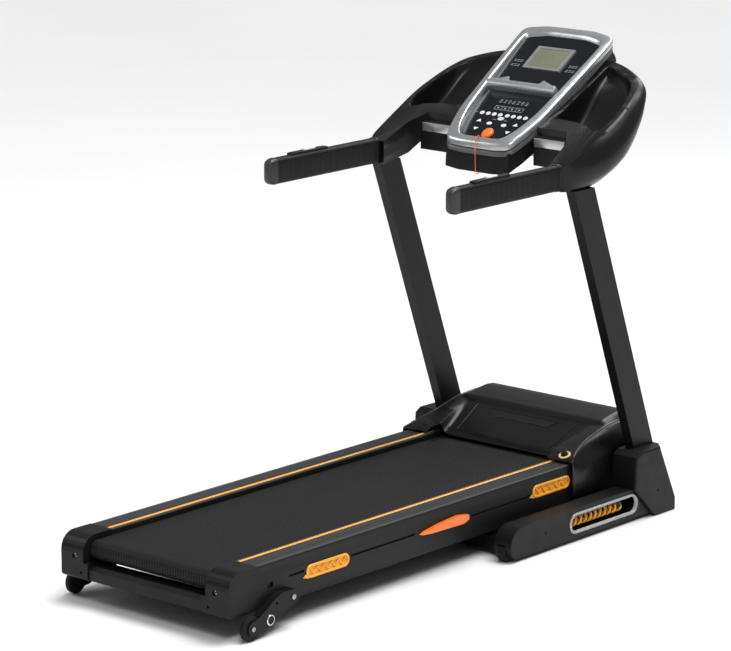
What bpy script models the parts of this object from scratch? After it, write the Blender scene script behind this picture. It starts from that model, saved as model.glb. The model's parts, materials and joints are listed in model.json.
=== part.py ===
"""A folding home treadmill: base, uprights and console, and a running deck that folds up on a hinge.

Metres. +X is the user's right, +Y is forward towards the console, +Z is up.
"""

import math

import bmesh
import bpy
from mathutils import Matrix, Vector

GAP = 0.0003  # between two pieces that touch
RUNNING = 0.0003  # round a shaft that turns in a bore

# Deck
DECK_HALF = 0.295
DECK_TOP = 0.181
DECK_BOTTOM = 0.067
DECK_REAR = -0.863
CAP_LENGTH = 0.106
RAIL_FRONT = 0.575
RAIL_WALL = 0.005
RAIL_PLATE = 0.006
GROOVES = 5
GROOVE_WIDTH = 0.0028
GROOVE_DEPTH = 0.0015
STRIP_FROM_LIP = 0.0145
STRIP_WIDTH = 0.010
TUBE_WIDTH = 0.039
TUBE_BOTTOM = 0.0705
TUBE_WALL = 0.0025
BOARD_THICK = 0.018
BOARD_FRONT = 0.545

# Running belt and its rollers
BELT_HALF = 0.2125
BELT_TOP = 0.166
BELT_THICK = 0.002
BELT_SIDE_GAP = 0.003
ROLLER_RADIUS = 0.0225
AXLE_RADIUS = 0.008
AXLE_SEAT = 0.012
REAR_ROLLER_Y = DECK_REAR + 0.048
FRONT_ROLLER_Y = 0.585

# Drive
PULLEY_X = -0.230
PULLEY_WIDTH = 0.014
PULLEY_ROOM = 0.0015  # between the drive belt and the foot rail over it
MOTOR_PULLEY_RADIUS = 0.014
MOTOR_Y = 0.705
MOTOR_Z = 0.1325
MOTOR_RADIUS = 0.045
MOTOR_RIGHT = -0.03
MOTOR_SHAFT = 0.006

# Fold hinge
HINGE_Y = 0.785
HINGE_Z = 0.150
HINGE_RADIUS = 0.008

# Hood over the motor
HOOD_HALF = DECK_HALF + 0.015
HOOD_REAR = 0.5115
HOOD_FRONT = 0.860
HOOD_BOTTOM = 0.092
HOOD_WALL = 0.004
HOOD_MOUTH = 0.566

# Base
RAIL_COVER_INNER = DECK_HALF + 0.040
RAIL_COVER_OUTER = RAIL_COVER_INNER + 0.057
RAIL_COVER_TOP = 0.095
RAIL_COVER_BOTTOM = 0.010
RAIL_COVER_REAR = 0.135
BASE_TUBE_INNER = RAIL_COVER_INNER - 0.0225
BASE_TUBE_BOTTOM = 0.012
BASE_TUBE_TOP = 0.056
BASE_TUBE_REAR = RAIL_COVER_REAR + 0.040
BASE_TUBE_FRONT = 0.690
CROSS_TUBE = 0.040
WINDOW_REAR = 0.390
WINDOW_FRONT = 0.700
WINDOW_Z = 0.0530
WINDOW_RADIUS = 0.030
WINDOW_DEPTH = 0.040
SPRING_RADIUS = 0.0165
SPRING_TURNS = 9
TRANSPORT_RADIUS = 0.026
TRANSPORT_Y = RAIL_COVER_REAR + 0.020
FOOT_Y = 0.310
FOOT_RADIUS = 0.012

# Uprights
UPRIGHT_INNER = RAIL_COVER_INNER - 0.006
UPRIGHT_OUTER = UPRIGHT_INNER + 0.0295
UPRIGHT_DEPTH = 0.089
UPRIGHT_WALL = 0.002
UPRIGHT_LEAN = 0.3755
UPRIGHT_REAR_AT_FLOOR = 0.798
UPRIGHT_BOTTOM = 0.095
BOOT_INNER = UPRIGHT_INNER - 0.007
BOOT_OUTER = RAIL_COVER_OUTER + 0.011
BOOT_FRONT = 0.866
BOOT_TOP = 0.197

# Console
RIM_AT_ORIGIN = 0.827
RIM_SLOPE = 0.503
FRAME_Y = 0.461
FRAME_Z = 1.063
FRAME_SLOPE = 0.6203
FACE_Z = 1.038
FACE_SLOPE = 0.66
BEZEL_HEIGHT = 0.0297
HOUSING_FRONT_DEPTH = 0.085
HOUSING_BACK_DEPTH = 0.060
ARM_FRONT = 0.409
BODY_FRONT = 0.547
BODY_SPAN = 0.3585  # the half width over the uprights that the console body's plan is drawn for

# Grips
GRIP_ROOT_X = UPRIGHT_OUTER - 0.037
GRIP_END_X = GRIP_ROOT_X - 0.003
GRIP_END_Y = -0.045
GRIP_HALF = 0.0165
GRIP_BOTTOM = 0.968
GRIP_TOP = 1.040

# Levelling feet at the rear
LEVEL_INNER = DECK_HALF + 0.0015
LEVEL_OUTER = LEVEL_INNER + 0.0235
LEVEL_PLATE = 0.0035
LEVEL_PIVOT_Y = DECK_REAR + 0.213
LEVEL_PIVOT_Z = 0.083
LEVEL_WHEEL_Y = DECK_REAR + 0.063
LEVEL_WHEEL_RADIUS = 0.033
LEVEL_PIN_RADIUS = 0.006

# Fold strut
STRUT_X = 0.235
STRUT_BASE_Y = 0.670
STRUT_BASE_Z = 0.040
STRUT_DECK_Y = 0.410
STRUT_DECK_Z = 0.120
STRUT_RADIUS = 0.011
ROD_RADIUS = 0.005
EYE_HALF = 0.007

SIDES = {"right": 1, "left": -1}

# The part's origin is under the middle of its box, so the design moves back by this much
CENTRING = 0.02123

for item in list(bpy.data.objects):
    bpy.data.objects.remove(item, do_unlink=True)


# ---------------------------------------------------------------- helpers


def finish(name, colour, roughness, metallic=0.0):
    material = bpy.data.materials.new(name)
    material.use_nodes = True
    shader = material.node_tree.nodes["Principled BSDF"]
    shader.inputs["Base Color"].default_value = (*colour, 1.0)
    shader.inputs["Roughness"].default_value = roughness
    shader.inputs["Metallic"].default_value = metallic
    return material


def arc(centre, radius, start, end, steps):
    """Points on an arc, in degrees, both ends included."""
    angles = [math.radians(start + (end - start) * i / steps) for i in range(steps + 1)]
    return [(centre[0] + radius * math.cos(a), centre[1] + radius * math.sin(a)) for a in angles]


def circle(centre, radius, steps):
    return arc(centre, radius, 0, 360, steps)[:-1]


def stadium(centre, length, radius, steps=8):
    """A horizontal slot outline of overall length, with round ends."""
    reach = length / 2 - radius
    front = arc((centre[0] + reach, centre[1]), radius, -90, 90, steps)
    return front + arc((centre[0] - reach, centre[1]), radius, 90, 270, steps)


def loop_round(first, radius_1, second, radius_2, steps):
    """The outline of a belt drawn tight round two circles."""
    across = Vector(second) - Vector(first)
    lean = math.degrees(math.asin((radius_1 - radius_2) / across.length))
    heading = math.degrees(math.atan2(across.y, across.x))
    far = arc(second, radius_2, heading - 90 + lean, heading + 90 - lean, steps)
    return far + arc(first, radius_1, heading + 90 - lean, heading + 270 + lean, steps)


def grown(outline, by):
    """A closed outline moved outwards by a distance, with its corners mitred."""
    area = sum(a[0] * b[1] - b[0] * a[1] for a, b in zip(outline, outline[1:] + outline[:1]))
    by = math.copysign(by, by * area)
    points = []
    for before, here, after in zip(outline[-1:] + outline[:-1], outline, outline[1:] + outline[:1]):
        first = (Vector(here) - Vector(before)).normalized()
        second = (Vector(after) - Vector(here)).normalized()
        out = Vector((first.y + second.y, -first.x - second.x)).normalized()
        points.append(tuple(Vector(here) + out * by / max(0.3, out.dot(Vector((first.y, -first.x))))))
    return points


def between(table, at):
    """The value at a place in a table of (place, value) corners, on straight lines."""
    if at <= table[0][0]:
        return table[0][1]
    for (low, first), (high, second) in zip(table, table[1:]):
        if at <= high:
            return first + (second - first) * (at - low) / (high - low)
    return table[-1][1]


def loft(rings, closed=False, across=None):
    """A closed mesh through rings of equal length, joined end to start, or capped at both ends.

    With across, each cap is a face for the corners up to that one and a face for their mirrors, joined by a row
    of faces from there on.
    """
    mesh = bmesh.new()
    rows = [[mesh.verts.new(point) for point in ring] for ring in rings]
    if closed:
        rows.append(rows[0])
    for row in () if closed else (rows[0], rows[-1]):
        if across is None:
            mesh.faces.new(row)
            continue
        mesh.faces.new((row[0], row[across], row[-1 - across], row[-1]))
        if across > 1:
            mesh.faces.new(row[:across + 1])
            mesh.faces.new(row[-1 - across:])
        for i in range(across, len(row) // 2 - 1):
            mesh.faces.new((row[i], row[i + 1], row[-2 - i], row[-1 - i]))
    for first, second in zip(rows, rows[1:]):
        for i in range(len(first)):
            j = (i + 1) % len(first)
            mesh.faces.new((first[i], first[j], second[j], second[i]))
    bmesh.ops.recalc_face_normals(mesh, faces=mesh.faces)
    return mesh


def prism(axis, outline, low, high):
    """An outline in the two other axes, in X, Y, Z order, drawn along one axis."""
    rings = []
    for at in (low, high):
        if axis == "x":
            rings.append([(at, a, b) for a, b in outline])
        elif axis == "y":
            rings.append([(a, at, b) for a, b in outline])
        else:
            rings.append([(a, b, at) for a, b in outline])
    return loft(rings)


def box(low, high):
    outline = [(low[1], low[2]), (high[1], low[2]), (high[1], high[2]), (low[1], high[2])]
    return prism("x", outline, low[0], high[0])


def turned(profile, centre, steps):
    """A closed (x, radius) profile turned round an axis along X through centre (y, z)."""
    rings = []
    for x, radius in profile:
        rings.append([(x, y, z) for y, z in circle(centre, radius, steps)])
    return loft(rings)


def mirrored(mesh, side):
    if side < 0:
        bmesh.ops.scale(mesh, vec=(-1, 1, 1), verts=mesh.verts)
        bmesh.ops.recalc_face_normals(mesh, faces=mesh.faces)
    return mesh


def hang(obj, place, parent):
    """Puts an object at a place in the design's own axes, under an axis or under the whole part."""
    obj.parent = parent or treadmill
    obj.location = Vector(place) - Vector(obj.parent["place"])


def new_object(name, mesh, origin, parent):
    for vertex in mesh.verts:
        vertex.co -= Vector(origin)
    data = bpy.data.meshes.new(name)
    mesh.to_mesh(data)
    mesh.free()
    obj = bpy.data.objects.new(name, data)
    bpy.context.scene.collection.objects.link(obj)
    hang(obj, origin, parent)
    return obj


def node(name, mesh, material, origin=(0, 0, 0), parent=None, smooth=True):
    obj = new_object(name, mesh, origin, parent)
    obj.data.materials.append(material)
    if smooth:
        obj.data.shade_smooth()
        obj.data.set_sharp_from_angle(angle=math.radians(32))
    return obj


def combine(obj, mesh, operation):
    """Adds a mesh to a node, or cuts it from the node, with a Boolean."""
    helper = new_object(f"{obj.name}_{operation.lower()}", mesh, (0, 0, 0), None)
    helper.hide_render = True
    helper.display_type = "WIRE"
    boolean = obj.modifiers.new(operation.lower(), "BOOLEAN")
    boolean.operation = operation
    boolean.object = helper


def add(obj, mesh):
    combine(obj, mesh, "UNION")


def cut(obj, mesh):
    combine(obj, mesh, "DIFFERENCE")


def axis_empty(name, place, parent=None):
    empty = bpy.data.objects.new(name, None)
    bpy.context.scene.collection.objects.link(empty)
    empty.empty_display_size = 0.05
    empty["place"] = place
    if parent or name != "treadmill":
        hang(empty, place, parent)
    return empty


# ---------------------------------------------------------------- materials

BLACK_STEEL = finish("black_steel", (0.020, 0.020, 0.021), 0.42)
BLACK_PLASTIC = finish("black_plastic", (0.022, 0.022, 0.023), 0.48)
GLOSS_PLASTIC = finish("gloss_plastic", (0.008, 0.008, 0.009), 0.18)
GREY_RAIL = finish("grey_rail", (0.075, 0.080, 0.085), 0.55)
SILVER = finish("silver_plastic", (0.62, 0.63, 0.64), 0.28, 0.6)
CHROME = finish("bright_steel", (0.75, 0.75, 0.76), 0.16, 1.0)
STEEL = finish("zinc_steel", (0.45, 0.46, 0.47), 0.38, 1.0)
BELT_RUBBER = finish("belt_rubber", (0.018, 0.018, 0.019), 0.75)
RUBBER = finish("rubber", (0.012, 0.012, 0.012), 0.8)
FOAM = finish("grip_foam", (0.025, 0.025, 0.026), 0.7)
AMBER = finish("amber_plastic", (0.80, 0.33, 0.01), 0.35)
AMBER_PAINT = finish("amber_paint", (0.80, 0.30, 0.01), 0.30)
ORANGE = finish("orange_plastic", (0.85, 0.14, 0.004), 0.35)
WOOD = finish("deck_board", (0.10, 0.07, 0.045), 0.6)
PANEL = finish("panel_black", (0.006, 0.008, 0.012), 0.2)
SCREEN = finish("screen_grey", (0.25, 0.26, 0.16), 0.25)
WHITE = finish("button_white", (0.72, 0.74, 0.76), 0.35)

# ---------------------------------------------------------------- axes

ROLLER_Z = BELT_TOP - BELT_THICK - GAP - ROLLER_RADIUS
ROLLER_PULLEY_RADIUS = DECK_TOP - RAIL_PLATE - PULLEY_ROOM - BELT_THICK - GAP - ROLLER_Z
BOARD_TOP = BELT_TOP - BELT_THICK - GAP
TUBE_TOP = BOARD_TOP - BOARD_THICK - GAP
TUBE_OUTER = DECK_HALF - RAIL_WALL - GAP
TUBE_INNER = TUBE_OUTER - TUBE_WIDTH
CAP_FRONT = DECK_REAR + CAP_LENGTH
RAIL_INNER = BELT_HALF + BELT_SIDE_GAP
STRIP_CENTRE = RAIL_INNER + STRIP_FROM_LIP
LOBE_INNER = RAIL_INNER + 0.0015
STRUT_ACROSS = Vector((STRUT_DECK_Y - STRUT_BASE_Y, STRUT_DECK_Z - STRUT_BASE_Z))
STRUT_LENGTH = STRUT_ACROSS.length
STRUT_ANGLE = math.atan2(STRUT_ACROSS.y, STRUT_ACROSS.x)

treadmill = axis_empty("treadmill", (0, 0, 0))
treadmill.location.y = -CENTRING
fold_axis = axis_empty("fold_axis", (0, HINGE_Y, HINGE_Z))
strut_axis = axis_empty("strut_axis", (STRUT_X, STRUT_BASE_Y, STRUT_BASE_Z))


# ---------------------------------------------------------------- deck


CROSS_TUBES = (DECK_REAR + 0.163, -0.065, 0.300)  # where each cross tube's rear side stands
DECK_CROSS = 0.030


def build_deck_frame():
    front = HINGE_Y + 0.045
    frame = node(
        "deck_frame",
        box((-TUBE_OUTER + 0.01, front - 0.030, TUBE_BOTTOM + 0.004), (TUBE_OUTER - 0.01, front, TUBE_BOTTOM + 0.034)),
        BLACK_STEEL,
        parent=fold_axis,
    )
    for at in CROSS_TUBES:
        low = (-TUBE_OUTER + 0.01, at, TUBE_BOTTOM + 0.004)
        add(frame, box(low, (TUBE_OUTER - 0.01, at + DECK_CROSS, TUBE_BOTTOM + 0.004 + DECK_CROSS)))
    plate_top = MOTOR_Z - MOTOR_RADIUS - GAP
    low = (-TUBE_INNER - 0.01, MOTOR_Y - 0.05, TUBE_BOTTOM + 0.004)
    add(frame, box(low, (TUBE_INNER - 0.035, front - 0.01, plate_top)))
    for side in (1, -1):
        inner, outer = sorted((side * TUBE_INNER, side * TUBE_OUTER))
        add(frame, box((inner, CAP_FRONT + GAP, TUBE_BOTTOM), (outer, front, TUBE_TOP)))
        low = (inner + TUBE_WALL, CAP_FRONT - 0.01, TUBE_BOTTOM + TUBE_WALL)
        cut(frame, box(low, (outer - TUBE_WALL, FRONT_ROLLER_Y - 0.045, TUBE_TOP - TUBE_WALL)))
        roof = ROLLER_Z - AXLE_RADIUS - 0.007
        low = (inner + TUBE_WALL, FRONT_ROLLER_Y - 0.046, TUBE_BOTTOM + TUBE_WALL)
        cut(frame, box(low, (outer - TUBE_WALL, front - 0.035, roof)))
        block = FRONT_ROLLER_Y - 0.025
        add(frame, box((inner, block, TUBE_TOP - 0.01), (outer, block + 0.05, ROLLER_Z + 0.022)))
        ear = HINGE_Y - 0.040
        add(frame, box((inner, ear, TUBE_TOP - 0.01), (outer, ear + 0.075, HINGE_Z + 0.022)))
        pin = [(TUBE_OUTER - 0.01, HINGE_RADIUS), (UPRIGHT_INNER - GAP, HINGE_RADIUS)]
        add(frame, mirrored(turned(pin, (HINGE_Y, HINGE_Z), 16), side))
        bore = [(TUBE_INNER - 0.01, AXLE_RADIUS + RUNNING), (TUBE_INNER + AXLE_SEAT, AXLE_RADIUS + RUNNING)]
        cut(frame, mirrored(turned(bore, (FRONT_ROLLER_Y, ROLLER_Z), 16), side))
        seat = [(TUBE_OUTER - 0.006, LEVEL_PIN_RADIUS + RUNNING), (TUBE_OUTER + 0.01, LEVEL_PIN_RADIUS + RUNNING)]
        cut(frame, mirrored(turned(seat, (LEVEL_PIVOT_Y, LEVEL_PIVOT_Z), 12), side))
    for at in CROSS_TUBES:
        low = (-TUBE_INNER - 2 * TUBE_WALL, at + TUBE_WALL, TUBE_BOTTOM + 0.004 + TUBE_WALL)
        high = (TUBE_INNER + 2 * TUBE_WALL, at + DECK_CROSS - TUBE_WALL, TUBE_BOTTOM + 0.004 + DECK_CROSS - TUBE_WALL)
        cut(frame, box(low, high))
    lug = [(STRUT_X + EYE_HALF + 0.0025, ROD_RADIUS), (TUBE_INNER + 0.01, ROD_RADIUS)]
    add(frame, turned(lug, (STRUT_DECK_Y, STRUT_DECK_Z), 10))


def build_deck_board():
    reach = TUBE_OUTER - 0.004
    low = (-reach, CAP_FRONT + GAP, BOARD_TOP - BOARD_THICK)
    node("deck_board", box(low, (reach, BOARD_FRONT, BOARD_TOP)), WOOD, parent=fold_axis)


def rail_profile():
    """The foot rail in (x, z): grooved top plate, strip seat, inner lip and outer wall."""
    outer, inner, top = DECK_HALF, RAIL_INNER, DECK_TOP
    seat = STRIP_CENTRE - STRIP_WIDTH / 2 - GAP
    seat_end = STRIP_CENTRE + STRIP_WIDTH / 2 + GAP
    points = [(inner, BOARD_TOP + GAP), (inner, top - 0.003), (inner + 0.003, top)]
    points += [(seat, top), (seat, top - 0.0015), (seat_end, top - 0.0015), (seat_end, top)]
    first = seat_end + 0.006
    pitch = (outer - 0.009 - first) / GROOVES
    for i in range(GROOVES):
        start = first + i * pitch
        end = start + GROOVE_WIDTH
        points += [(start, top), (start, top - GROOVE_DEPTH)]
        points += [(end, top - GROOVE_DEPTH), (end, top)]
    points += arc((outer - 0.005, top - 0.005), 0.005, 90, 0, 3)
    wall = outer - RAIL_WALL
    points += [(outer, DECK_BOTTOM), (wall, DECK_BOTTOM), (wall, top - RAIL_PLATE)]
    points += [(inner + 0.003, top - RAIL_PLATE), (inner + 0.003, BOARD_TOP + GAP)]
    return points


BUMPERS = {"rear": (DECK_REAR + 0.3695, 0.124), "front": (0.4305, 0.137)}
BUMPER_LENGTH = 0.165
BUMPER_RADIUS = 0.018
LEVER_PIVOT = (0.045, 0.133)
SIDE_SLOTS = ((DECK_REAR + 0.223, DECK_REAR + 0.279), (DECK_REAR + 0.460, -0.150), (0.085, 0.340))
SLOT_Z = 0.1300
SLOT_HEIGHT = 0.007


def build_side(name, side):
    rail = node(
        f"foot_rail_{name}",
        mirrored(prism("y", rail_profile(), CAP_FRONT + GAP, RAIL_FRONT), side),
        GREY_RAIL,
        parent=fold_axis,
    )
    through = (DECK_HALF - RAIL_WALL - 0.002, DECK_HALF + 0.002)
    for centre in BUMPERS.values():
        seat = stadium(centre, BUMPER_LENGTH + 2 * GAP, BUMPER_RADIUS + GAP)
        cut(rail, mirrored(prism("x", seat, *through), side))
    for start, end in SIDE_SLOTS:
        low = (through[0], start, SLOT_Z - SLOT_HEIGHT / 2)
        cut(rail, mirrored(box(low, (through[1], end, SLOT_Z + SLOT_HEIGHT / 2)), side))
    cut(rail, mirrored(box((through[0], DECK_REAR + 0.141, 0.116), (through[1], DECK_REAR + 0.163, 0.130)), side))
    for centre, radius in (((LEVEL_PIVOT_Y, LEVEL_PIVOT_Z), LEVEL_PIN_RADIUS), (LEVER_PIVOT, 0.004)):
        bore = circle(centre, radius + RUNNING, 12)
        cut(rail, mirrored(prism("x", bore, *through), side))

    for place, centre in BUMPERS.items():
        outline = stadium(centre, BUMPER_LENGTH, BUMPER_RADIUS)
        low, high = DECK_HALF - RAIL_WALL, DECK_HALF + 0.0035
        bumper = node(
            f"side_bumper_{place}_{name}",
            mirrored(prism("x", outline, low, high), side),
            AMBER,
            parent=fold_axis,
        )
        inner = stadium(centre, BUMPER_LENGTH - 0.022, BUMPER_RADIUS - 0.008)
        cut(bumper, mirrored(prism("x", inner, high - 0.003, high + 0.002), side))

    build_rear_cap(name, side)
    build_level_foot(name, side)


def build_rear_cap(name, side):
    corner = 0.045
    rear = arc((DECK_REAR + corner, DECK_TOP - corner), corner, 90, 180, 7)
    outline = [(CAP_FRONT, DECK_BOTTOM), (CAP_FRONT, DECK_TOP)] + rear
    outline += [(DECK_REAR, DECK_BOTTOM + 0.006), (DECK_REAR + 0.006, DECK_BOTTOM)]
    ledge = RAIL_INNER - 0.0155
    cap = node(
        f"rear_cap_{name}",
        mirrored(prism("x", outline, ledge, DECK_HALF), side),
        BLACK_PLASTIC,
        parent=fold_axis,
    )
    hollow = [(DECK_REAR - 0.01, 0.112), (CAP_FRONT + 0.01, 0.112), (CAP_FRONT + 0.01, 0.2), (DECK_REAR - 0.01, 0.2)]
    cut(cap, mirrored(prism("x", hollow, ledge - 0.01, RAIL_INNER), side))
    bore = [(RAIL_INNER - 0.005, AXLE_RADIUS + RUNNING), (RAIL_INNER + 0.030, AXLE_RADIUS + RUNNING)]
    cut(cap, mirrored(turned(bore, (REAR_ROLLER_Y, ROLLER_Z), 16), side))
    hexagon = circle((0.247, 0.1275), 0.0085, 6)
    cut(cap, mirrored(prism("y", hexagon, DECK_REAR - 0.01, DECK_REAR + 0.014), side))
    cut(cap, mirrored(prism("y", circle((0.224, 0.086), 0.004, 8), DECK_REAR - 0.01, DECK_REAR + 0.012), side))


def build_rear_cover():
    half = RAIL_INNER - 0.0155 - GAP
    rear, front = DECK_REAR + 0.004, CAP_FRONT - 0.045
    low, top = DECK_BOTTOM + 0.002, 0.106
    outline = [(rear, low), (front, low), (front, top), (rear + 0.014, top), (rear, top - 0.010)]
    node("rear_cover", prism("x", outline, -half, half), BLACK_PLASTIC, parent=fold_axis)


def level_outline():
    """The banana-shaped plate, from its pivot down to the wheel's axle."""
    pivot = (LEVEL_PIVOT_Y, LEVEL_PIVOT_Z)
    axle = (LEVEL_WHEEL_Y, LEVEL_WHEEL_RADIUS)
    crown = [(LEVEL_PIVOT_Y - back, z) for back, z in ((0.040, 0.1035), (0.072, 0.092), (0.102, 0.072), (0.128, 0.057))]
    belly = [(LEVEL_PIVOT_Y - 0.110, 0.0185), (LEVEL_PIVOT_Y - 0.050, 0.046)]
    return arc(pivot, 0.020, -60, 95, 7) + crown + arc(axle, 0.018, 110, 275, 7) + belly


def build_level_foot(name, side):
    pivot = (side * LEVEL_INNER, LEVEL_PIVOT_Y, LEVEL_PIVOT_Z)
    axis = axis_empty(f"level_axis_{name}", pivot, fold_axis)
    foot = node(
        f"level_foot_{name}",
        mirrored(prism("x", level_outline(), LEVEL_INNER, LEVEL_OUTER), side),
        BLACK_STEEL,
        origin=pivot,
        parent=axis,
    )
    axle = (LEVEL_WHEEL_Y, LEVEL_WHEEL_RADIUS)
    low, high = LEVEL_INNER + LEVEL_PLATE, LEVEL_OUTER - LEVEL_PLATE
    slot = circle(axle, LEVEL_WHEEL_RADIUS + 0.004, 24)
    cut(foot, mirrored(prism("x", slot, low, high), side))
    pin = [(TUBE_OUTER - 0.005, LEVEL_PIN_RADIUS), (LEVEL_INNER + 0.003, LEVEL_PIN_RADIUS)]
    add(foot, mirrored(turned(pin, (LEVEL_PIVOT_Y, LEVEL_PIVOT_Z), 12), side))
    cut(foot, mirrored(prism("x", circle(axle, 0.004 + RUNNING, 12), LEVEL_INNER - 0.01, LEVEL_OUTER + 0.01), side))
    cut(foot, mirrored(prism("x", circle((LEVEL_PIVOT_Y - 0.063, 0.080), 0.004, 8), LEVEL_INNER - 0.01, LEVEL_OUTER + 0.01), side))
    ring = circle((LEVEL_PIVOT_Y - 0.088, 0.043), 0.0100, 16)
    add(foot, mirrored(prism("x", ring, LEVEL_OUTER - 0.002, LEVEL_OUTER + 0.003), side))

    tyre = LEVEL_WHEEL_RADIUS
    profile = [(LEVEL_INNER + 0.0003, 0.004), (low + 0.001, 0.004), (low + 0.001, tyre - 0.002)]
    profile += [(low + 0.003, tyre), (high - 0.003, tyre), (high - 0.001, tyre - 0.002)]
    profile += [(high - 0.001, 0.004), (LEVEL_OUTER - 0.0003, 0.004)]
    node(
        f"level_wheel_{name}",
        mirrored(turned(profile, axle, 20), side),
        RUBBER,
        origin=(side * (low + high) / 2, *axle),
        parent=axis,
    )


def build_belt_and_rollers():
    rear, front = (REAR_ROLLER_Y, ROLLER_Z), (FRONT_ROLLER_Y, ROLLER_Z)
    inside = ROLLER_RADIUS + GAP
    outside = inside + BELT_THICK
    belt = node(
        "running_belt",
        prism("x", loop_round(rear, outside, front, outside, 14), -BELT_HALF, BELT_HALF),
        BELT_RUBBER,
        parent=fold_axis,
    )
    inner = loop_round(rear, inside, front, inside, 14)
    cut(belt, prism("x", inner, -BELT_HALF - 0.01, BELT_HALF + 0.01))

    drum = BELT_HALF + 0.0015
    end = RAIL_INNER + 0.028
    profile = [(-end, AXLE_RADIUS), (-0.004, AXLE_RADIUS), (-0.004, ROLLER_RADIUS - TUBE_WALL)]
    profile += [(-drum, ROLLER_RADIUS - TUBE_WALL), (-drum, ROLLER_RADIUS)]
    profile += [(-x, radius) for x, radius in reversed(profile)]
    node("rear_roller", turned(profile, rear, 20), STEEL, origin=(0, *rear), parent=fold_axis)

    end = TUBE_INNER + AXLE_SEAT - 0.001
    low, high = PULLEY_X - PULLEY_WIDTH / 2 - 0.001, PULLEY_X + PULLEY_WIDTH / 2 + 0.001
    profile = [(-end, AXLE_RADIUS), (low, AXLE_RADIUS), (low, ROLLER_PULLEY_RADIUS)]
    profile += [(high, ROLLER_PULLEY_RADIUS), (high, AXLE_RADIUS), (-0.004, AXLE_RADIUS)]
    shell = [(0.004, AXLE_RADIUS), (0.004, ROLLER_RADIUS - TUBE_WALL), (drum, ROLLER_RADIUS - TUBE_WALL)]
    shell.append((drum, ROLLER_RADIUS))
    profile += [(-x, radius) for x, radius in shell[1:]]
    profile += shell[::-1] + [(end, AXLE_RADIUS)]
    node("front_roller", turned(profile, front, 20), STEEL, origin=(0, *front), parent=fold_axis)


def build_drive():
    front, motor = (FRONT_ROLLER_Y, ROLLER_Z), (MOTOR_Y, MOTOR_Z)
    back = PULLEY_X + PULLEY_WIDTH / 2 + 0.010
    body = MOTOR_RADIUS
    profile = [(back, body - 0.006), (back + 0.006, body), (MOTOR_RIGHT - 0.012, body)]
    profile += [(MOTOR_RIGHT - 0.010, body - 0.010), (MOTOR_RIGHT, body - 0.014)]
    motor_body = node("drive_motor", turned(profile, motor, 28), BLACK_STEEL, parent=fold_axis)
    bore = [(back - 0.005, MOTOR_SHAFT + RUNNING), (back + 0.020, MOTOR_SHAFT + RUNNING)]
    cut(motor_body, turned(bore, motor, 12))

    low, high = PULLEY_X - PULLEY_WIDTH / 2 - 0.001, PULLEY_X + PULLEY_WIDTH / 2 + 0.001
    profile = [(low, MOTOR_PULLEY_RADIUS), (high, MOTOR_PULLEY_RADIUS)]
    profile += [(high, MOTOR_SHAFT), (back + 0.018, MOTOR_SHAFT)]
    node("motor_pulley", turned(profile, motor, 20), STEEL, origin=(PULLEY_X, *motor), parent=fold_axis)

    radii = (ROLLER_PULLEY_RADIUS + GAP, MOTOR_PULLEY_RADIUS + GAP)
    low, high = PULLEY_X - PULLEY_WIDTH / 2, PULLEY_X + PULLEY_WIDTH / 2
    outer = loop_round(front, radii[0] + BELT_THICK, motor, radii[1] + BELT_THICK, 12)
    drive = node("drive_belt", prism("x", outer, low, high), RUBBER, parent=fold_axis)
    cut(drive, prism("x", loop_round(front, radii[0], motor, radii[1], 12), low - 0.01, high + 0.01))


# Heights of the hood along Y, at its shoulders and over the sunken middle, and how far its top edge stands in from its side
SHOULDER = ((0.5115, 0.190), (0.524, 0.196), (0.545, 0.204), (0.600, 0.222), (0.647, 0.234), (0.707, 0.247),
            (0.770, 0.254), (0.840, 0.250), (0.853, 0.238), (0.860, 0.214))
MIDDLE = ((0.566, 0.177), (0.581, 0.188), (0.707, 0.246), (0.718, 0.256), (0.770, 0.265), (0.815, 0.270),
          (0.840, 0.268), (0.853, 0.255), (0.860, 0.228))
TOP_EDGE = ((0.5115, 0.005), (0.524, 0.010), (0.566, 0.027), (0.600, 0.035), (0.647, 0.040), (0.860, 0.042))

BEND = ((0.581, 0.188), (0.707, 0.207), (0.718, 0.236))  # the half width of the middle


def hood_section(y, inset, bottom):
    """The hood's outline at one station, in (x, z), shrunk by inset."""
    shoulder = between(SHOULDER, y) - inset
    middle = between(MIDDLE, y) - inset
    edge = HOOD_HALF - between(TOP_EDGE, y) - inset
    if y < HOOD_MOUTH:
        middle = shoulder
    bend = between(BEND, y)
    half = HOOD_HALF - inset
    flare = half - edge
    right = [(half, bottom), (half, shoulder - 0.070), (edge + 0.75 * flare, shoulder - 0.036)]
    right += [(edge + 0.3 * flare, shoulder - 0.010), (edge, shoulder - 0.002), (edge - 0.008, shoulder)]
    right += [(bend + 0.022, shoulder - 0.15 * (shoulder - middle)), (bend, middle)]
    return right + [(-x, z) for x, z in reversed(right)]


def hood_loft(inset, rear, front, bottom):
    stations = sorted({y for y, _ in SHOULDER + MIDDLE + TOP_EDGE if rear < y < front} | {rear, front})
    return loft([[(x, y, z) for x, z in hood_section(y, inset, bottom)] for y in stations])


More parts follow.
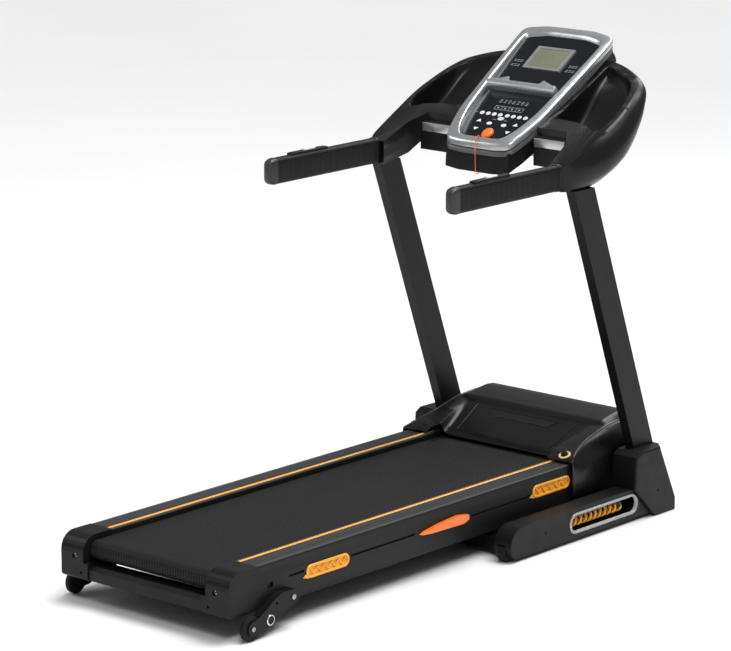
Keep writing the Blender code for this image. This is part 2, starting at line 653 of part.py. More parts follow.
def build_hood():
    hood = node("motor_hood", hood_loft(0, HOOD_REAR, HOOD_FRONT, HOOD_BOTTOM), GLOSS_PLASTIC, parent=fold_axis)
    inner_front = HOOD_FRONT - HOOD_WALL - 0.004
    cut(hood, hood_loft(HOOD_WALL, HOOD_REAR - 0.02, inner_front, HOOD_BOTTOM - 0.03))
    slant = 0.022
    mouth = [(LOBE_INNER, HOOD_REAR - 0.02), (LOBE_INNER, HOOD_REAR + 0.02), (LOBE_INNER - slant, HOOD_MOUTH)]
    mouth += [(-x, y) for x, y in reversed(mouth)]
    cut(hood, prism("z", mouth, 0.05, 0.35))
    for side in (1, -1):
        hole = prism("x", circle((HINGE_Y, HINGE_Z), HINGE_RADIUS + GAP, 16), HOOD_HALF - 0.02, HOOD_HALF + 0.01)
        cut(hood, mirrored(hole, side))
    cut(hood, box((INLET_LEFT - GAP, 0.83, INLET_LOW - GAP), (INLET_RIGHT + GAP, 0.88, INLET_HIGH + GAP)))
    cut(hood, box((SWITCH_LEFT - GAP, 0.83, SWITCH_Z - SWITCH_RADIUS - GAP),
                  (SWITCH_RIGHT + GAP, 0.88, SWITCH_Z + SWITCH_RADIUS + GAP)))


INLET_LEFT = 0.095
INLET_RIGHT = 0.125
INLET_LOW = 0.125
INLET_HIGH = 0.150
SWITCH_LEFT = 0.150
SWITCH_RIGHT = 0.171
SWITCH_Z = 0.1375
SWITCH_RADIUS = 0.0105
SWITCH_Y = HOOD_FRONT - 0.004


def build_power_entry():
    inlet = node(
        "power_inlet",
        box((INLET_LEFT, HOOD_FRONT - 0.024, INLET_LOW), (INLET_RIGHT, HOOD_FRONT + 0.003, INLET_HIGH)),
        BLACK_PLASTIC,
        parent=fold_axis,
    )
    margin = 0.005
    low = (INLET_LEFT + margin, HOOD_FRONT - 0.016, INLET_LOW + margin)
    cut(inlet, box(low, (INLET_RIGHT - margin, HOOD_FRONT + 0.01, INLET_HIGH - margin)))
    outline = arc((SWITCH_Y, SWITCH_Z), SWITCH_RADIUS, 50, 130, 5)
    outline += arc((SWITCH_Y, SWITCH_Z), SWITCH_RADIUS, 230, 310, 5)
    node(
        "power_switch",
        prism("x", outline, SWITCH_LEFT, SWITCH_RIGHT),
        BLACK_PLASTIC,
        origin=((SWITCH_LEFT + SWITCH_RIGHT) / 2, SWITCH_Y, SWITCH_Z),
        parent=fold_axis,
    )


def build_lever():
    outline = [(-0.132, 0.1250), (-0.090, 0.1215), (0.040, 0.1190), (0.063, 0.1260)]
    outline += [(0.062, 0.1400), (0.020, 0.1455), (-0.060, 0.1390), (-0.115, 0.1310)]
    low, high = DECK_HALF + GAP, DECK_HALF + 0.012
    lever = node(
        "fold_release_lever",
        prism("x", outline, low, high),
        ORANGE,
        origin=(low, *LEVER_PIVOT),
        parent=fold_axis,
    )
    pin = [(DECK_HALF - RAIL_WALL + GAP, 0.004), (low + 0.003, 0.004)]
    add(lever, turned(pin, LEVER_PIVOT, 12))


def along_strut(mesh):
    """Turns a mesh built along +X from the origin to lie along the strut, at its base pivot."""
    turn = Matrix.Rotation(math.radians(90), 4, "Z")
    lift = Matrix.Rotation(STRUT_ANGLE, 4, "X")
    bmesh.ops.transform(mesh, matrix=Matrix.Translation((STRUT_X, STRUT_BASE_Y, STRUT_BASE_Z)) @ lift @ turn,
                        verts=mesh.verts)
    bmesh.ops.recalc_face_normals(mesh, faces=mesh.faces)
    return mesh


def build_strut():
    base = (STRUT_X, STRUT_BASE_Y, STRUT_BASE_Z)
    eye = circle((STRUT_BASE_Y, STRUT_BASE_Z), 0.012, 16)
    end = STRUT_LENGTH - 0.028
    cylinder = node(
        "strut_cylinder",
        prism("x", eye, STRUT_X - EYE_HALF, STRUT_X + EYE_HALF),
        BLACK_STEEL,
        origin=base,
        parent=strut_axis,
    )
    add(cylinder, along_strut(turned([(0.008, STRUT_RADIUS - 0.003), (0.016, STRUT_RADIUS), (end, STRUT_RADIUS)],
                                     (0, 0), 16)))
    pin_hole = circle((STRUT_BASE_Y, STRUT_BASE_Z), ROD_RADIUS + RUNNING, 12)
    cut(cylinder, prism("x", pin_hole, STRUT_X - 0.02, STRUT_X + 0.02))
    cut(cylinder, along_strut(turned([(0.030, ROD_RADIUS + RUNNING), (end + 0.01, ROD_RADIUS + RUNNING)], (0, 0), 12)))
    tip = (STRUT_DECK_Y, STRUT_DECK_Z)
    rod = node(
        "strut_rod",
        along_strut(turned([(0.036, ROD_RADIUS), (STRUT_LENGTH - 0.004, ROD_RADIUS)], (0, 0), 12)),
        CHROME,
        origin=base,
        parent=strut_axis,
    )
    add(rod, prism("x", circle(tip, 0.010, 16), STRUT_X - EYE_HALF, STRUT_X + EYE_HALF))
    cut(rod, prism("x", circle(tip, ROD_RADIUS + RUNNING, 12), STRUT_X - 0.02, STRUT_X + 0.02))


# ---------------------------------------------------------------- base


def build_base_frame():
    tube = (BASE_TUBE_BOTTOM, BASE_TUBE_TOP)
    outer = RAIL_COVER_INNER - GAP
    reach = BOOT_INNER - GAP
    frame = node(
        "base_frame",
        box((-reach, BASE_TUBE_FRONT, tube[0]), (reach, BASE_TUBE_FRONT + CROSS_TUBE, tube[1] - 0.004)),
        BLACK_STEEL,
    )
    low = (-outer + 0.01, BASE_TUBE_REAR, tube[0])
    add(frame, box(low, (outer - 0.01, BASE_TUBE_REAR + CROSS_TUBE, tube[1] - 0.004)))
    for side in (1, -1):
        inner, far = sorted((side * BASE_TUBE_INNER, side * outer))
        add(frame, box((inner, BASE_TUBE_REAR - 0.005, tube[0]), (far, BASE_TUBE_FRONT + 0.020, tube[1])))
        low = (inner + TUBE_WALL, BASE_TUBE_REAR - 0.02, tube[0] + TUBE_WALL)
        cut(frame, box(low, (far - TUBE_WALL, BASE_TUBE_FRONT + 0.015, tube[1] - TUBE_WALL)))
    for at, half in ((BASE_TUBE_FRONT, reach - TUBE_WALL), (BASE_TUBE_REAR, BASE_TUBE_INNER + 0.01)):
        low = (-half, at + TUBE_WALL, tube[0] + TUBE_WALL)
        cut(frame, box(low, (half, at + CROSS_TUBE - TUBE_WALL, tube[1] - 0.004 - TUBE_WALL)))
    lug = [(STRUT_BASE_Y - 0.010, STRUT_BASE_Z - 0.010), (BASE_TUBE_FRONT + 0.004, STRUT_BASE_Z - 0.014)]
    lug += [(BASE_TUBE_FRONT + 0.004, STRUT_BASE_Z + 0.008), (STRUT_BASE_Y - 0.010, STRUT_BASE_Z + 0.008)]
    low = STRUT_X + STRUT_RADIUS + 0.001
    add(frame, prism("x", lug, low, low + 0.008))
    pin = [(STRUT_X - EYE_HALF - 0.001, ROD_RADIUS), (low + 0.004, ROD_RADIUS)]
    add(frame, turned(pin, (STRUT_BASE_Y, STRUT_BASE_Z), 12))


def boot_line(z):
    """Where the boot's sloping rear underside stands at a height."""
    return 0.674 + (0.094 - z) * (0.771 - 0.674) / 0.094


def build_base_side(name, side):
    nose = 0.050
    centre = (RAIL_COVER_REAR + nose, RAIL_COVER_TOP - nose)
    low, top = RAIL_COVER_BOTTOM, RAIL_COVER_TOP
    outline = arc(centre, nose, 90, 212, 8) + [(RAIL_COVER_REAR + 0.022, low)]
    outline += [(boot_line(low) - 0.001, low), (boot_line(0.094) - 0.001, 0.094), (0.670, top)]
    cover = node(
        f"base_rail_cover_{name}",
        mirrored(prism("x", outline, RAIL_COVER_INNER, RAIL_COVER_OUTER), side),
        BLACK_PLASTIC,
    )
    middle = ((WINDOW_REAR + WINDOW_FRONT) / 2, WINDOW_Z)
    length = WINDOW_FRONT - WINDOW_REAR
    window = stadium(middle, length, WINDOW_RADIUS)
    floor = RAIL_COVER_OUTER - WINDOW_DEPTH
    cut(cover, mirrored(prism("x", window, floor, RAIL_COVER_OUTER + 0.01), side))
    axle = (TRANSPORT_Y, TRANSPORT_RADIUS)
    slot = (RAIL_COVER_INNER + 0.012, RAIL_COVER_INNER + 0.038)
    cut(cover, mirrored(prism("x", circle(axle, TRANSPORT_RADIUS + 0.004, 24), *slot), side))
    cut(cover, mirrored(prism("x", circle(axle, 0.004 + RUNNING, 12), RAIL_COVER_INNER - 0.01,
                              RAIL_COVER_OUTER - 0.004), side))
    foot = circle((RAIL_COVER_INNER + 0.028, FOOT_Y), FOOT_RADIUS, 12)
    add(cover, mirrored(prism("z", foot, 0.0, low + 0.004), side))
    cut(cover, mirrored(prism("x", circle((0.285, 0.055), 0.004, 8), RAIL_COVER_OUTER - 0.006,
                              RAIL_COVER_OUTER + 0.01), side))

    profile = [(RAIL_COVER_INNER + 0.001, 0.004), (slot[0] + 0.001, 0.004), (slot[0] + 0.001, TRANSPORT_RADIUS - 0.002)]
    profile += [(slot[0] + 0.003, TRANSPORT_RADIUS), (slot[1] - 0.003, TRANSPORT_RADIUS)]
    profile += [(slot[1] - 0.001, TRANSPORT_RADIUS - 0.002), (slot[1] - 0.001, 0.004), (RAIL_COVER_OUTER - 0.005, 0.004)]
    node(
        f"transport_wheel_{name}",
        mirrored(turned(profile, axle, 18), side),
        RUBBER,
        origin=(side * sum(slot) / 2, *axle),
    )

    build_spring(name, side, floor)


SPRING_REAR = WINDOW_REAR + 0.012
SPRING_FRONT = WINDOW_FRONT - 0.062


def build_spring(name, side, floor):
    """A ridged barrel of the coil spring's outer shape, lying along Y against the pocket's floor."""
    pitch = (SPRING_FRONT - SPRING_REAR) / SPRING_TURNS
    centre_x = floor + GAP + SPRING_RADIUS
    stations = []
    for i in range(SPRING_TURNS):
        start = SPRING_REAR + i * pitch
        stations += [(start, SPRING_RADIUS - 0.004), (start + pitch / 2, SPRING_RADIUS)]
    stations.append((SPRING_FRONT, SPRING_RADIUS - 0.004))
    rings = []
    for y, radius in stations:
        rings.append([(x, y, z) for x, z in circle((centre_x, WINDOW_Z), radius, 10)])
    node(f"shock_spring_{name}", mirrored(loft(rings), side), AMBER_PAINT)


def upright_outline(low, high, shrink):
    """The leaning tube's side outline in (y, z) between two heights."""
    def rear(z):
        return UPRIGHT_REAR_AT_FLOOR - UPRIGHT_LEAN * z + shrink
    depth = UPRIGHT_DEPTH - 2 * shrink
    return [(rear(low), low), (rear(low) + depth, low), (rear(high) + depth, high), (rear(high), high)]


UPRIGHT_TOP = 0.966


def build_upright(name, side):
    tube = node(
        f"upright_{name}",
        mirrored(prism("x", upright_outline(UPRIGHT_BOTTOM, UPRIGHT_TOP - GAP, 0), UPRIGHT_INNER, UPRIGHT_OUTER), side),
        BLACK_STEEL,
    )
    inside = upright_outline(UPRIGHT_BOTTOM - 0.02, UPRIGHT_TOP + 0.02, UPRIGHT_WALL)
    cut(tube, mirrored(prism("x", inside, UPRIGHT_INNER + UPRIGHT_WALL, UPRIGHT_OUTER - UPRIGHT_WALL), side))

    def ring(x, front, shrink):
        corners = [(0.679, 0.185), (0.700, BOOT_TOP), (0.786 + front, BOOT_TOP), (BOOT_FRONT, 0.035), (BOOT_FRONT, 0.0)]
        corners += [(0.771, 0.0), (0.674, 0.094)]
        return [(x, y, z - shrink * (z > 0.15)) for y, z in corners]

    rings = [ring(BOOT_INNER, 0.030, 0), ring(BOOT_OUTER - 0.028, 0.030, 0), ring(BOOT_OUTER - 0.004, 0.006, 0.001)]
    rings.append([(BOOT_OUTER, y + 0.004 * (0.77 - y) * 10, z * 0.985 + 0.001) for _, y, z in ring(0, 0, 0.004)])
    boot = node(f"upright_boot_{name}", mirrored(loft(rings), side), BLACK_PLASTIC)
    pocket = upright_outline(UPRIGHT_BOTTOM - GAP, 0.25, -GAP)
    cut(boot, mirrored(prism("x", pocket, UPRIGHT_INNER - GAP, UPRIGHT_OUTER + GAP), side))
    bore = circle((HINGE_Y, HINGE_Z), HINGE_RADIUS + RUNNING, 16)
    cut(boot, mirrored(prism("x", bore, BOOT_INNER - 0.01, UPRIGHT_INNER + 0.001), side))
    cut(boot, mirrored(prism("x", circle((0.780, 0.073), 0.004, 8), BOOT_OUTER - 0.006, BOOT_OUTER + 0.01), side))


# ---------------------------------------------------------------- console


def rim(y):
    return RIM_AT_ORIGIN + RIM_SLOPE * y


# Depth of the console body below its rim, along Y
BODY_DEPTH = ((0.409, 0.067), (0.500, 0.112), (0.600, 0.136), (0.660, 0.127), (0.720, 0.098), (0.760, 0.062),
              (0.860, 0.040))
BODY_PLAN = ((0.245, BODY_FRONT), (0.277, 0.500), (0.291, ARM_FRONT), (0.337, ARM_FRONT), (0.350, 0.440),
             (0.356, 0.540), (0.358, 0.623), (0.349, 0.680), (0.332, 0.738), (0.307, 0.781), (0.270, 0.809),
             (0.220, 0.833), (0.152, 0.850), (0.075, 0.857))
FRONT_DEPTH = (0.50, 0.78)  # the share of its depth that the body has at the first two corners


def spread(x):
    """A place across the console body, widened with the uprights under it."""
    return x * UPRIGHT_OUTER / BODY_SPAN


def body_ring(swell, share):
    """The console body's outline swollen sideways, at a share of its depth below the rim."""
    points = []
    for i, (x, y) in enumerate(BODY_PLAN):
        outer = x > 0.29
        wide = swell * min(1.0, max(0.0, y - 0.42) / 0.14) if outer else 0.0
        tuck = 0.16 * max(0.0, y - 0.56) * (share > 0.9)
        depth = between(BODY_DEPTH, y) * (FRONT_DEPTH[i] if i < len(FRONT_DEPTH) else 1.0)
        points.append((spread(x) + wide - tuck * outer, y - tuck * 0.6, rim(y) - share * depth))
    return points + [(-x, y, z) for x, y, z in reversed(points)]


# The bottle wells' plan, as (y, inner x, outer x), and their depth below the rim along Y
WELL_PLAN = ((0.566, 0.314, 0.326), (0.572, 0.302, 0.334), (0.582, 0.282, 0.338), (0.590, 0.232, 0.340),
             (0.596, 0.172, 0.341), (0.620, 0.172, 0.342), (0.672, 0.172, 0.334), (0.726, 0.172, 0.318),
             (0.765, 0.172, 0.296), (0.791, 0.172, 0.262), (0.812, 0.172, 0.215), (0.822, 0.172, 0.185))
WELL_DEPTH = ((0.566, 0.055), (0.596, 0.085), (0.620, 0.095), (0.660, 0.090), (0.720, 0.064), (0.765, 0.036),
              (0.822, 0.022))
WELL_MIDDLE = (0.26, 0.68)


def well_ring(share, rise, pull):
    outer, inner = [], []
    for y, near, far in WELL_PLAN:
        at = y + (WELL_MIDDLE[1] - y) * pull
        height = rim(at) + rise - share * between(WELL_DEPTH, at)
        outer.append((spread(far + (WELL_MIDDLE[0] - far) * pull), at, height))
        inner.append((spread(near + (WELL_MIDDLE[0] - near) * pull), at, height))
    return outer + inner[::-1]


def build_console_body():
    rings = [body_ring(0.0, 0.0), body_ring(0.018, 0.18), body_ring(0.030, 0.50), body_ring(0.022, 0.80)]
    rings.append(body_ring(-0.006, 1.0))
    body = node("console_body", loft(rings, across=6), GLOSS_PLASTIC)
    for side in (1, -1):
        rings = [well_ring(0, 0.03, -0.02), well_ring(0.5, 0, 0.03), well_ring(1.0, 0, 0.18)]
        cut(body, mirrored(loft(rings, across=1), side))
    cut(body, console_pocket(GAP + 0.0002))


# The console face, as (half width, distance up the slope) corners
FACE_OUTER = ((0.060, -0.007), (0.111, 0.000), (0.130, 0.050), (0.146, 0.120), (0.153, 0.250), (0.160, 0.400),
              (0.162, 0.470), (0.148, 0.486), (0.080, 0.500))
FACE_INNER = ((0.050, 0.016), (0.074, 0.020), (0.098, 0.065), (0.114, 0.130), (0.125, 0.250), (0.133, 0.400),
              (0.134, 0.442), (0.124, 0.455), (0.066, 0.469))


def whole(corners, grow=0.0):
    """Both halves of a face outline as (x, y) in plan, grown outwards."""
    lean = math.cos(math.atan(FRAME_SLOPE))
    right = [(x, FRAME_Y + v * lean) for x, v in corners]
    return grown(right + [(-x, y) for x, y in reversed(right)], grow)


def frame_z(y):
    return FRAME_Z + FRAME_SLOPE * (y - FRAME_Y)


def face_z(y):
    return FACE_Z + FACE_SLOPE * (y - FRAME_Y)


HOUSING_INSET = 0.002
HOUSING_LENGTH = 0.43
HOUSING_WALL = 0.003
FRONT_LEAN = -0.004  # how far the housing's floor lies forward of its top, at the front and at the back
BACK_LEAN = 0.022


def housing_floor(grow):
    """The housing's lower outline, square to the face at the back and upright at the front."""
    ring = []
    for x, y in whole(FACE_OUTER, grow - HOUSING_INSET):
        share = (y - FRAME_Y) / HOUSING_LENGTH
        depth = HOUSING_FRONT_DEPTH + (HOUSING_BACK_DEPTH - HOUSING_FRONT_DEPTH) * share
        lean = FRONT_LEAN + (BACK_LEAN - FRONT_LEAN) * share
        ring.append((x, y + lean, frame_z(y) - depth - grow))
    return ring


def console_pocket(clearance):
    """The room that the console head takes up in the body."""
    plan = whole(FACE_OUTER, clearance)
    shelf = BEZEL_HEIGHT + 0.001
    return loft([[(x, y, frame_z(y) + 0.02) for x, y in plan], [(x, y, frame_z(y) - shelf) for x, y in plan],
                 housing_floor(clearance)])


def housing_bottom(y):
    """The height of the housing's underside, which slopes with the face."""
    share = (y - FRONT_LEAN - FRAME_Y) / (HOUSING_LENGTH + BACK_LEAN - FRONT_LEAN)
    above = FRAME_Y + share * HOUSING_LENGTH
    return frame_z(above) - HOUSING_FRONT_DEPTH - (HOUSING_BACK_DEPTH - HOUSING_FRONT_DEPTH) * share


def build_console_head():
    top = [(x, y, frame_z(y) - BEZEL_HEIGHT - GAP) for x, y in whole(FACE_OUTER, -HOUSING_INSET)]
    housing = node("console_housing", loft([top, housing_floor(0)]), BLACK_PLASTIC)
    mouth = [(x, y, frame_z(y)) for x, y in whole(FACE_OUTER, -HOUSING_INSET - HOUSING_WALL)]
    cut(housing, loft([mouth, housing_floor(-HOUSING_WALL)]))

    outer, inner = whole(FACE_OUTER), whole(FACE_INNER)
    crown = 0.003
    rings = [
        [(x, y, frame_z(y) - BEZEL_HEIGHT) for x, y in outer],
        [(x, y, frame_z(y) - 0.006) for x, y in outer],
        [(x, y, frame_z(y)) for x, y in whole(FACE_OUTER, -0.004)],
        [(x, y, frame_z(y) + crown) for x, y in whole(FACE_INNER, 0.008)],
        [(x, y, face_z(y) + 0.001 + 0.2 * (frame_z(y) - face_z(y))) for x, y in inner],
        [(x, y, frame_z(y) - BEZEL_HEIGHT) for x, y in inner],
    ]
    node("console_bezel", loft(rings, closed=True), SILVER)

    plan = whole(FACE_INNER, -GAP - 0.0002)
    rings = [[(x, y, frame_z(y) - BEZEL_HEIGHT) for x, y in plan], [(x, y, face_z(y)) for x, y in plan]]
    panel = node("face_panel", loft(rings), PANEL)
    for _, _, x, y, width, height in BUTTONS:
        cut(panel, button_mesh(x, y, width / 2 + GAP, height / 2 + GAP, -BUTTON_DEPTH, 0.01))
    cut(panel, on_face(WINDOW_OUTLINE, -0.002, 0.02, 1.004))

    lens = node("display_window", on_face(WINDOW_OUTLINE, -0.0017, 0.004, 1.0), SCREEN)
    rim_in = [(x * 0.80, y * 0.82) for x, y in WINDOW_OUTLINE]
    cut(lens, on_face(rim_in, 0.002, 0.02, 1.0))

    ledge = [(GAP, 0.003), (0.024, 0.003), (0.030, 0.010), (0.028, 0.022), (0.004, 0.026), (GAP, 0.027)]
    rings = []
    for x in (-LEDGE_HALF, LEDGE_HALF):
        rings.append([face_point(x, v, w, LEDGE_Y) for w, v in ledge])
    ledge_node = node("reading_ledge", loft(rings), SILVER)
    for side in (1, -1):
        flap = [(side * 0.108, 0.020), (side * 0.050, 0.020), (side * 0.062, 0.0415)]
        add(ledge_node, on_face(flap, 0.018, 0.022, 1.0, LEDGE_Y))


LEDGE_Y = 0.655
LEDGE_HALF = 0.118
WINDOW_Y = 0.780
WINDOW_OUTLINE = ((0.065, -0.046), (0.065, 0.046), (-0.065, 0.046), (-0.065, -0.046))
BUTTON_DEPTH = 0.0025
BUTTON_PROUD = 0.0015
BUTTONS = (
    ("start_button", WHITE, 0.0, 0.566, 0.022, 0.014),
    ("stop_button", WHITE, 0.026, 0.546, 0.018, 0.012),
    ("speed_up_button", WHITE, 0.064, 0.552, 0.020, 0.013),
    ("speed_down_button", WHITE, 0.056, 0.524, 0.020, 0.013),
    ("incline_up_button", WHITE, -0.064, 0.552, 0.020, 0.013),
    ("incline_down_button", WHITE, -0.056, 0.524, 0.020, 0.013),
)


def face_point(x, v, w, y):
    """A point v up the face's slope and w out from it, from the face's line at y."""
    lean = math.atan(FACE_SLOPE)
    return (x, y + v * math.cos(lean) - w * math.sin(lean), face_z(y) + v * math.sin(lean) + w * math.cos(lean))


def on_face(outline, low, high, grow, y=None):
    y = WINDOW_Y if y is None else y
    return loft([[face_point(x * grow, v * grow, w, y) for x, v in outline] for w in (low, high)])


def button_mesh(x, y, half_width, half_height, low, high):
    oval = [(x + half_width * math.cos(a), half_height * math.sin(a))
            for a in [math.radians(30 * i) for i in range(12)]]
    return on_face(oval, low, high, 1.0, y)


KEY_X = 0.0
KEY_Y = 0.510


def build_controls():
    for name, material, x, y, width, height in BUTTONS:
        mesh = button_mesh(x, y, width / 2, height / 2, -BUTTON_DEPTH + 0.0015, BUTTON_PROUD)
        node(name, mesh, material, origin=face_point(x, 0, 0, y))
    rings = []
    for w, size in ((GAP, 1.0), (0.004, 1.06), (0.009, 1.0), (0.012, 0.72)):
        ring = [(KEY_X + 0.0165 * size * math.cos(a), 0.020 * size * math.sin(a))
                for a in [math.radians(22.5 * i) for i in range(16)]]
        rings.append([face_point(x, v, w, KEY_Y) for x, v in ring])
    node("safety_key", loft(rings), ORANGE, origin=face_point(KEY_X, 0, 0, KEY_Y))


PULSE_INNER = 0.1450


def build_pulse_bar(name, side):
    front, back = BODY_FRONT - 0.019, BODY_FRONT - 0.0006
    (near, inner_y), (far, outer_y) = BODY_PLAN[:2]

    def body_edge(y):
        return spread(near + (far - near) * (y - inner_y) / (outer_y - inner_y)) - 0.0008

    plan = [(PULSE_INNER, front), (body_edge(front), front), (body_edge(back), back), (PULSE_INNER, back)]
    rings = [[(x, y, 1.000 + 0.2 * (y - front)) for x, y in plan]]
    rings.append([(x, y, 1.073 + 0.2 * (y - front)) for x, y in plan])
    crown = 0.003
    rings.append([(x - crown * (x > PULSE_INNER), y + crown * (1 if y == front else -1), 1.078 + 0.2 * (y - front))
                  for x, y in plan])
    node(f"pulse_bar_{name}", mirrored(loft(rings), side), SILVER)


GRIP_STATIONS = ((0.000, 0.55, 0.62), (0.006, 0.80, 0.86), (0.016, 0.96, 0.97), (0.030, 1.0, 1.0),
                 (0.300, 1.0, 1.0), (0.440, 1.0, 1.0), (0.4526, 1.0, 1.0))


def build_grip(name, side):
    middle, half_height = (GRIP_TOP + GRIP_BOTTOM) / 2, (GRIP_TOP - GRIP_BOTTOM) / 2
    length = ARM_FRONT - GAP - GRIP_END_Y
    corner = 0.013
    rings = []
    for along, wide, tall in GRIP_STATIONS:
        share = along / GRIP_STATIONS[-1][0]
        centre = GRIP_END_X + (GRIP_ROOT_X - GRIP_END_X) * share
        half, height = GRIP_HALF * wide, half_height * tall
        ring = []
        for turn, sx, sz in ((0, 1, 1), (90, -1, 1), (180, -1, -1), (270, 1, -1)):
            reach = corner * wide
            spot = (centre + sx * (half - reach), middle + sz * (height - reach))
            ring += arc(spot, reach, turn, turn + 90, 4)
        rings.append([(x, GRIP_END_Y + share * length, z) for x, z in ring])
    grip = node(f"grip_{name}", mirrored(loft(rings), side), FOAM)
    pod = [(-0.004, 0.006), (0.150, 0.006), (0.140, -0.010), (0.006, -0.010)]
    outline = [(GRIP_BUTTON_Y - 0.075 + y, GRIP_TOP + z) for y, z in pod]
    centre = GRIP_END_X + 0.0015
    add(grip, mirrored(prism("x", outline, centre - 0.010, centre + 0.010), side))
    seat = (GRIP_BUTTON_Y - 0.022, GRIP_BUTTON_Y + 0.022)
    low = (centre - 0.007, seat[0] - GAP, GRIP_TOP + 0.001)
    cut(grip, mirrored(box(low, (centre + 0.007, seat[1] + GAP, GRIP_TOP + 0.02)), side))
    bottom = GRIP_TOP + 0.001 + 0.002
    rocker = [(seat[0], bottom + 0.002), (GRIP_BUTTON_Y, bottom), (seat[1], bottom + 0.002)]
    rocker += [(seat[1] - 0.001, bottom + 0.006), (GRIP_BUTTON_Y, bottom + 0.005), (seat[0] + 0.001, bottom + 0.006)]
    pivot = (side * centre, GRIP_BUTTON_Y, bottom)
    node(
        f"grip_rocker_{name}",
        mirrored(prism("x", rocker, centre - 0.0067, centre + 0.0067), side),
        WHITE,
        origin=pivot,
    )


GRIP_BUTTON_Y = 0.125

LANYARD_RADIUS = 0.0012
CLIP_Y = 0.482
LANYARD = (
    (0.0000, 0.4896, 1.0623), (0.0001, 0.4865, 1.0606), (0.0004, 0.4816, 1.0628), (0.0007, 0.4761, 1.0682),
    (0.0010, 0.4702, 1.0728), (0.0014, 0.4632, 1.0737), (0.0017, 0.4562, 1.0690), (0.0022, 0.4512, 1.0560),
    (0.0030, 0.4490, 1.0400), (0.0042, 0.4488, 1.0240), (0.0050, 0.4486, 1.0080), (0.0056, 0.4486, 0.9920),
    (0.0060, 0.4496, 0.9780), (0.0062, 0.4545, 0.9695), (0.0063, 0.4625, 0.9720), (0.0064, 0.4700, 0.9808),
    (0.0064, 0.4762, 0.9874), (0.0064, 0.4817, 0.9884),
)


def smooth_route(points, step):
    """Points about a step apart on a Catmull-Rom curve through the route's own points."""
    ends = [points[0], *points, points[-1]]
    route = []
    for p0, p1, p2, p3 in zip(ends, ends[1:], ends[2:], ends[3:]):
        a, b, c, d = Vector(p0), Vector(p1), Vector(p2), Vector(p3)
        count = max(1, round((c - b).length / step))
        for i in range(count):
            t = i / count
            route.append(0.5 * (2 * b + (c - a) * t + (2 * a - 5 * b + 4 * c - d) * t * t
                                + (3 * b - a - 3 * c + d) * t ** 3))
    route.append(Vector(points[-1]))
    return route


def build_lanyard():
    curve = bpy.data.curves.new("safety_lanyard", "CURVE")
    curve.dimensions = "3D"
    curve.bevel_depth = LANYARD_RADIUS
    curve.bevel_resolution = 2
    curve.use_fill_caps = True
    route = smooth_route(LANYARD, 0.006)
    spline = curve.splines.new("POLY")
    spline.points.add(len(route) - 1)
    for point, place in zip(spline.points, route):
        point.co = (*place, 1.0)
    curve.materials.append(ORANGE)
    cord = bpy.data.objects.new("safety_lanyard", curve)
    bpy.context.scene.collection.objects.link(cord)
    hang(cord, (0, 0, 0), None)


def build_lanyard_clip():
    """The clip on the lanyard's end, held against the underside of the console."""
    outline = [(y, housing_bottom(y) - drop) for y, drop in ((CLIP_Y, GAP), (CLIP_Y + 0.016, GAP))]
    outline += [(y, housing_bottom(y) - drop) for y, drop in ((CLIP_Y + 0.016, 0.006), (CLIP_Y, 0.008))]
    centre = LANYARD[-1][0]
    node("lanyard_clip", prism("x", outline, centre - 0.006, centre + 0.006), BLACK_PLASTIC)


build_deck_frame()
build_deck_board()
build_rear_cover()
build_belt_and_rollers()
build_drive()
build_hood()
build_power_entry()
build_lever()
build_strut()
build_base_frame()
build_console_body()
build_console_head()
build_controls()
build_lanyard()
build_lanyard_clip()
for side_name, side_sign in SIDES.items():
    build_side(side_name, side_sign)
    build_base_side(side_name, side_sign)
    build_upright(side_name, side_sign)
    build_pulse_bar(side_name, side_sign)
    build_grip(side_name, side_sign)
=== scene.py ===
"""The looks of a folding home treadmill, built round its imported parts."""

import json
import math

import bmesh
import bpy
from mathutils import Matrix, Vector


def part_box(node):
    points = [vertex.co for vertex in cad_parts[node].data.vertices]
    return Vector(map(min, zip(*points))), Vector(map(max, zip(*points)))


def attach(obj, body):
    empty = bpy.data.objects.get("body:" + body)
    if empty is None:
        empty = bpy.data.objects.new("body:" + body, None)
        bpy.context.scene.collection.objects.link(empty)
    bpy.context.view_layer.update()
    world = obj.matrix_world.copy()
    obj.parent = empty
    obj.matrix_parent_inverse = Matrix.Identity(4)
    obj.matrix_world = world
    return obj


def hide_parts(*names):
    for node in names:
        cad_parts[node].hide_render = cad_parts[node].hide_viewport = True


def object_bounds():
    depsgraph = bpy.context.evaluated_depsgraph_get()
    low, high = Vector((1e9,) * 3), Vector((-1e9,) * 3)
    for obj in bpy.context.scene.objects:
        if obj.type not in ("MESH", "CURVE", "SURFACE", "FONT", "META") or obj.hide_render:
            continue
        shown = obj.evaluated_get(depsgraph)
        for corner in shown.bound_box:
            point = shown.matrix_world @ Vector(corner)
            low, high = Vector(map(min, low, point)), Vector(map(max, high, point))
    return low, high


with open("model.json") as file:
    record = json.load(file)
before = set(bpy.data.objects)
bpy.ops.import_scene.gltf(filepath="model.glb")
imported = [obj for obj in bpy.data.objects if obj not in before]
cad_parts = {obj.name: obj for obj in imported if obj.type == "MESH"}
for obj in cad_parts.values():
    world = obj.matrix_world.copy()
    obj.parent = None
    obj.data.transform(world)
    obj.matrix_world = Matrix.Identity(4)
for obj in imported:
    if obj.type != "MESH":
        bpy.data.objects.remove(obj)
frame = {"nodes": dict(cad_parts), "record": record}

NODES = frame["nodes"]
CAD_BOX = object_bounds()
SIDES = {"right": 1, "left": -1}

# The design's own Y runs from the deck's rear end, which stands at this Y in it
DECK_REAR = -0.863
RAIL_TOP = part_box("foot_rail_right")[1][2]
SHIFT = CAD_BOX[0][1] - DECK_REAR


def at(x, y, z):
    """A point in the design's own axes, as a point of the frame."""
    return Vector((x, y + SHIFT, z))


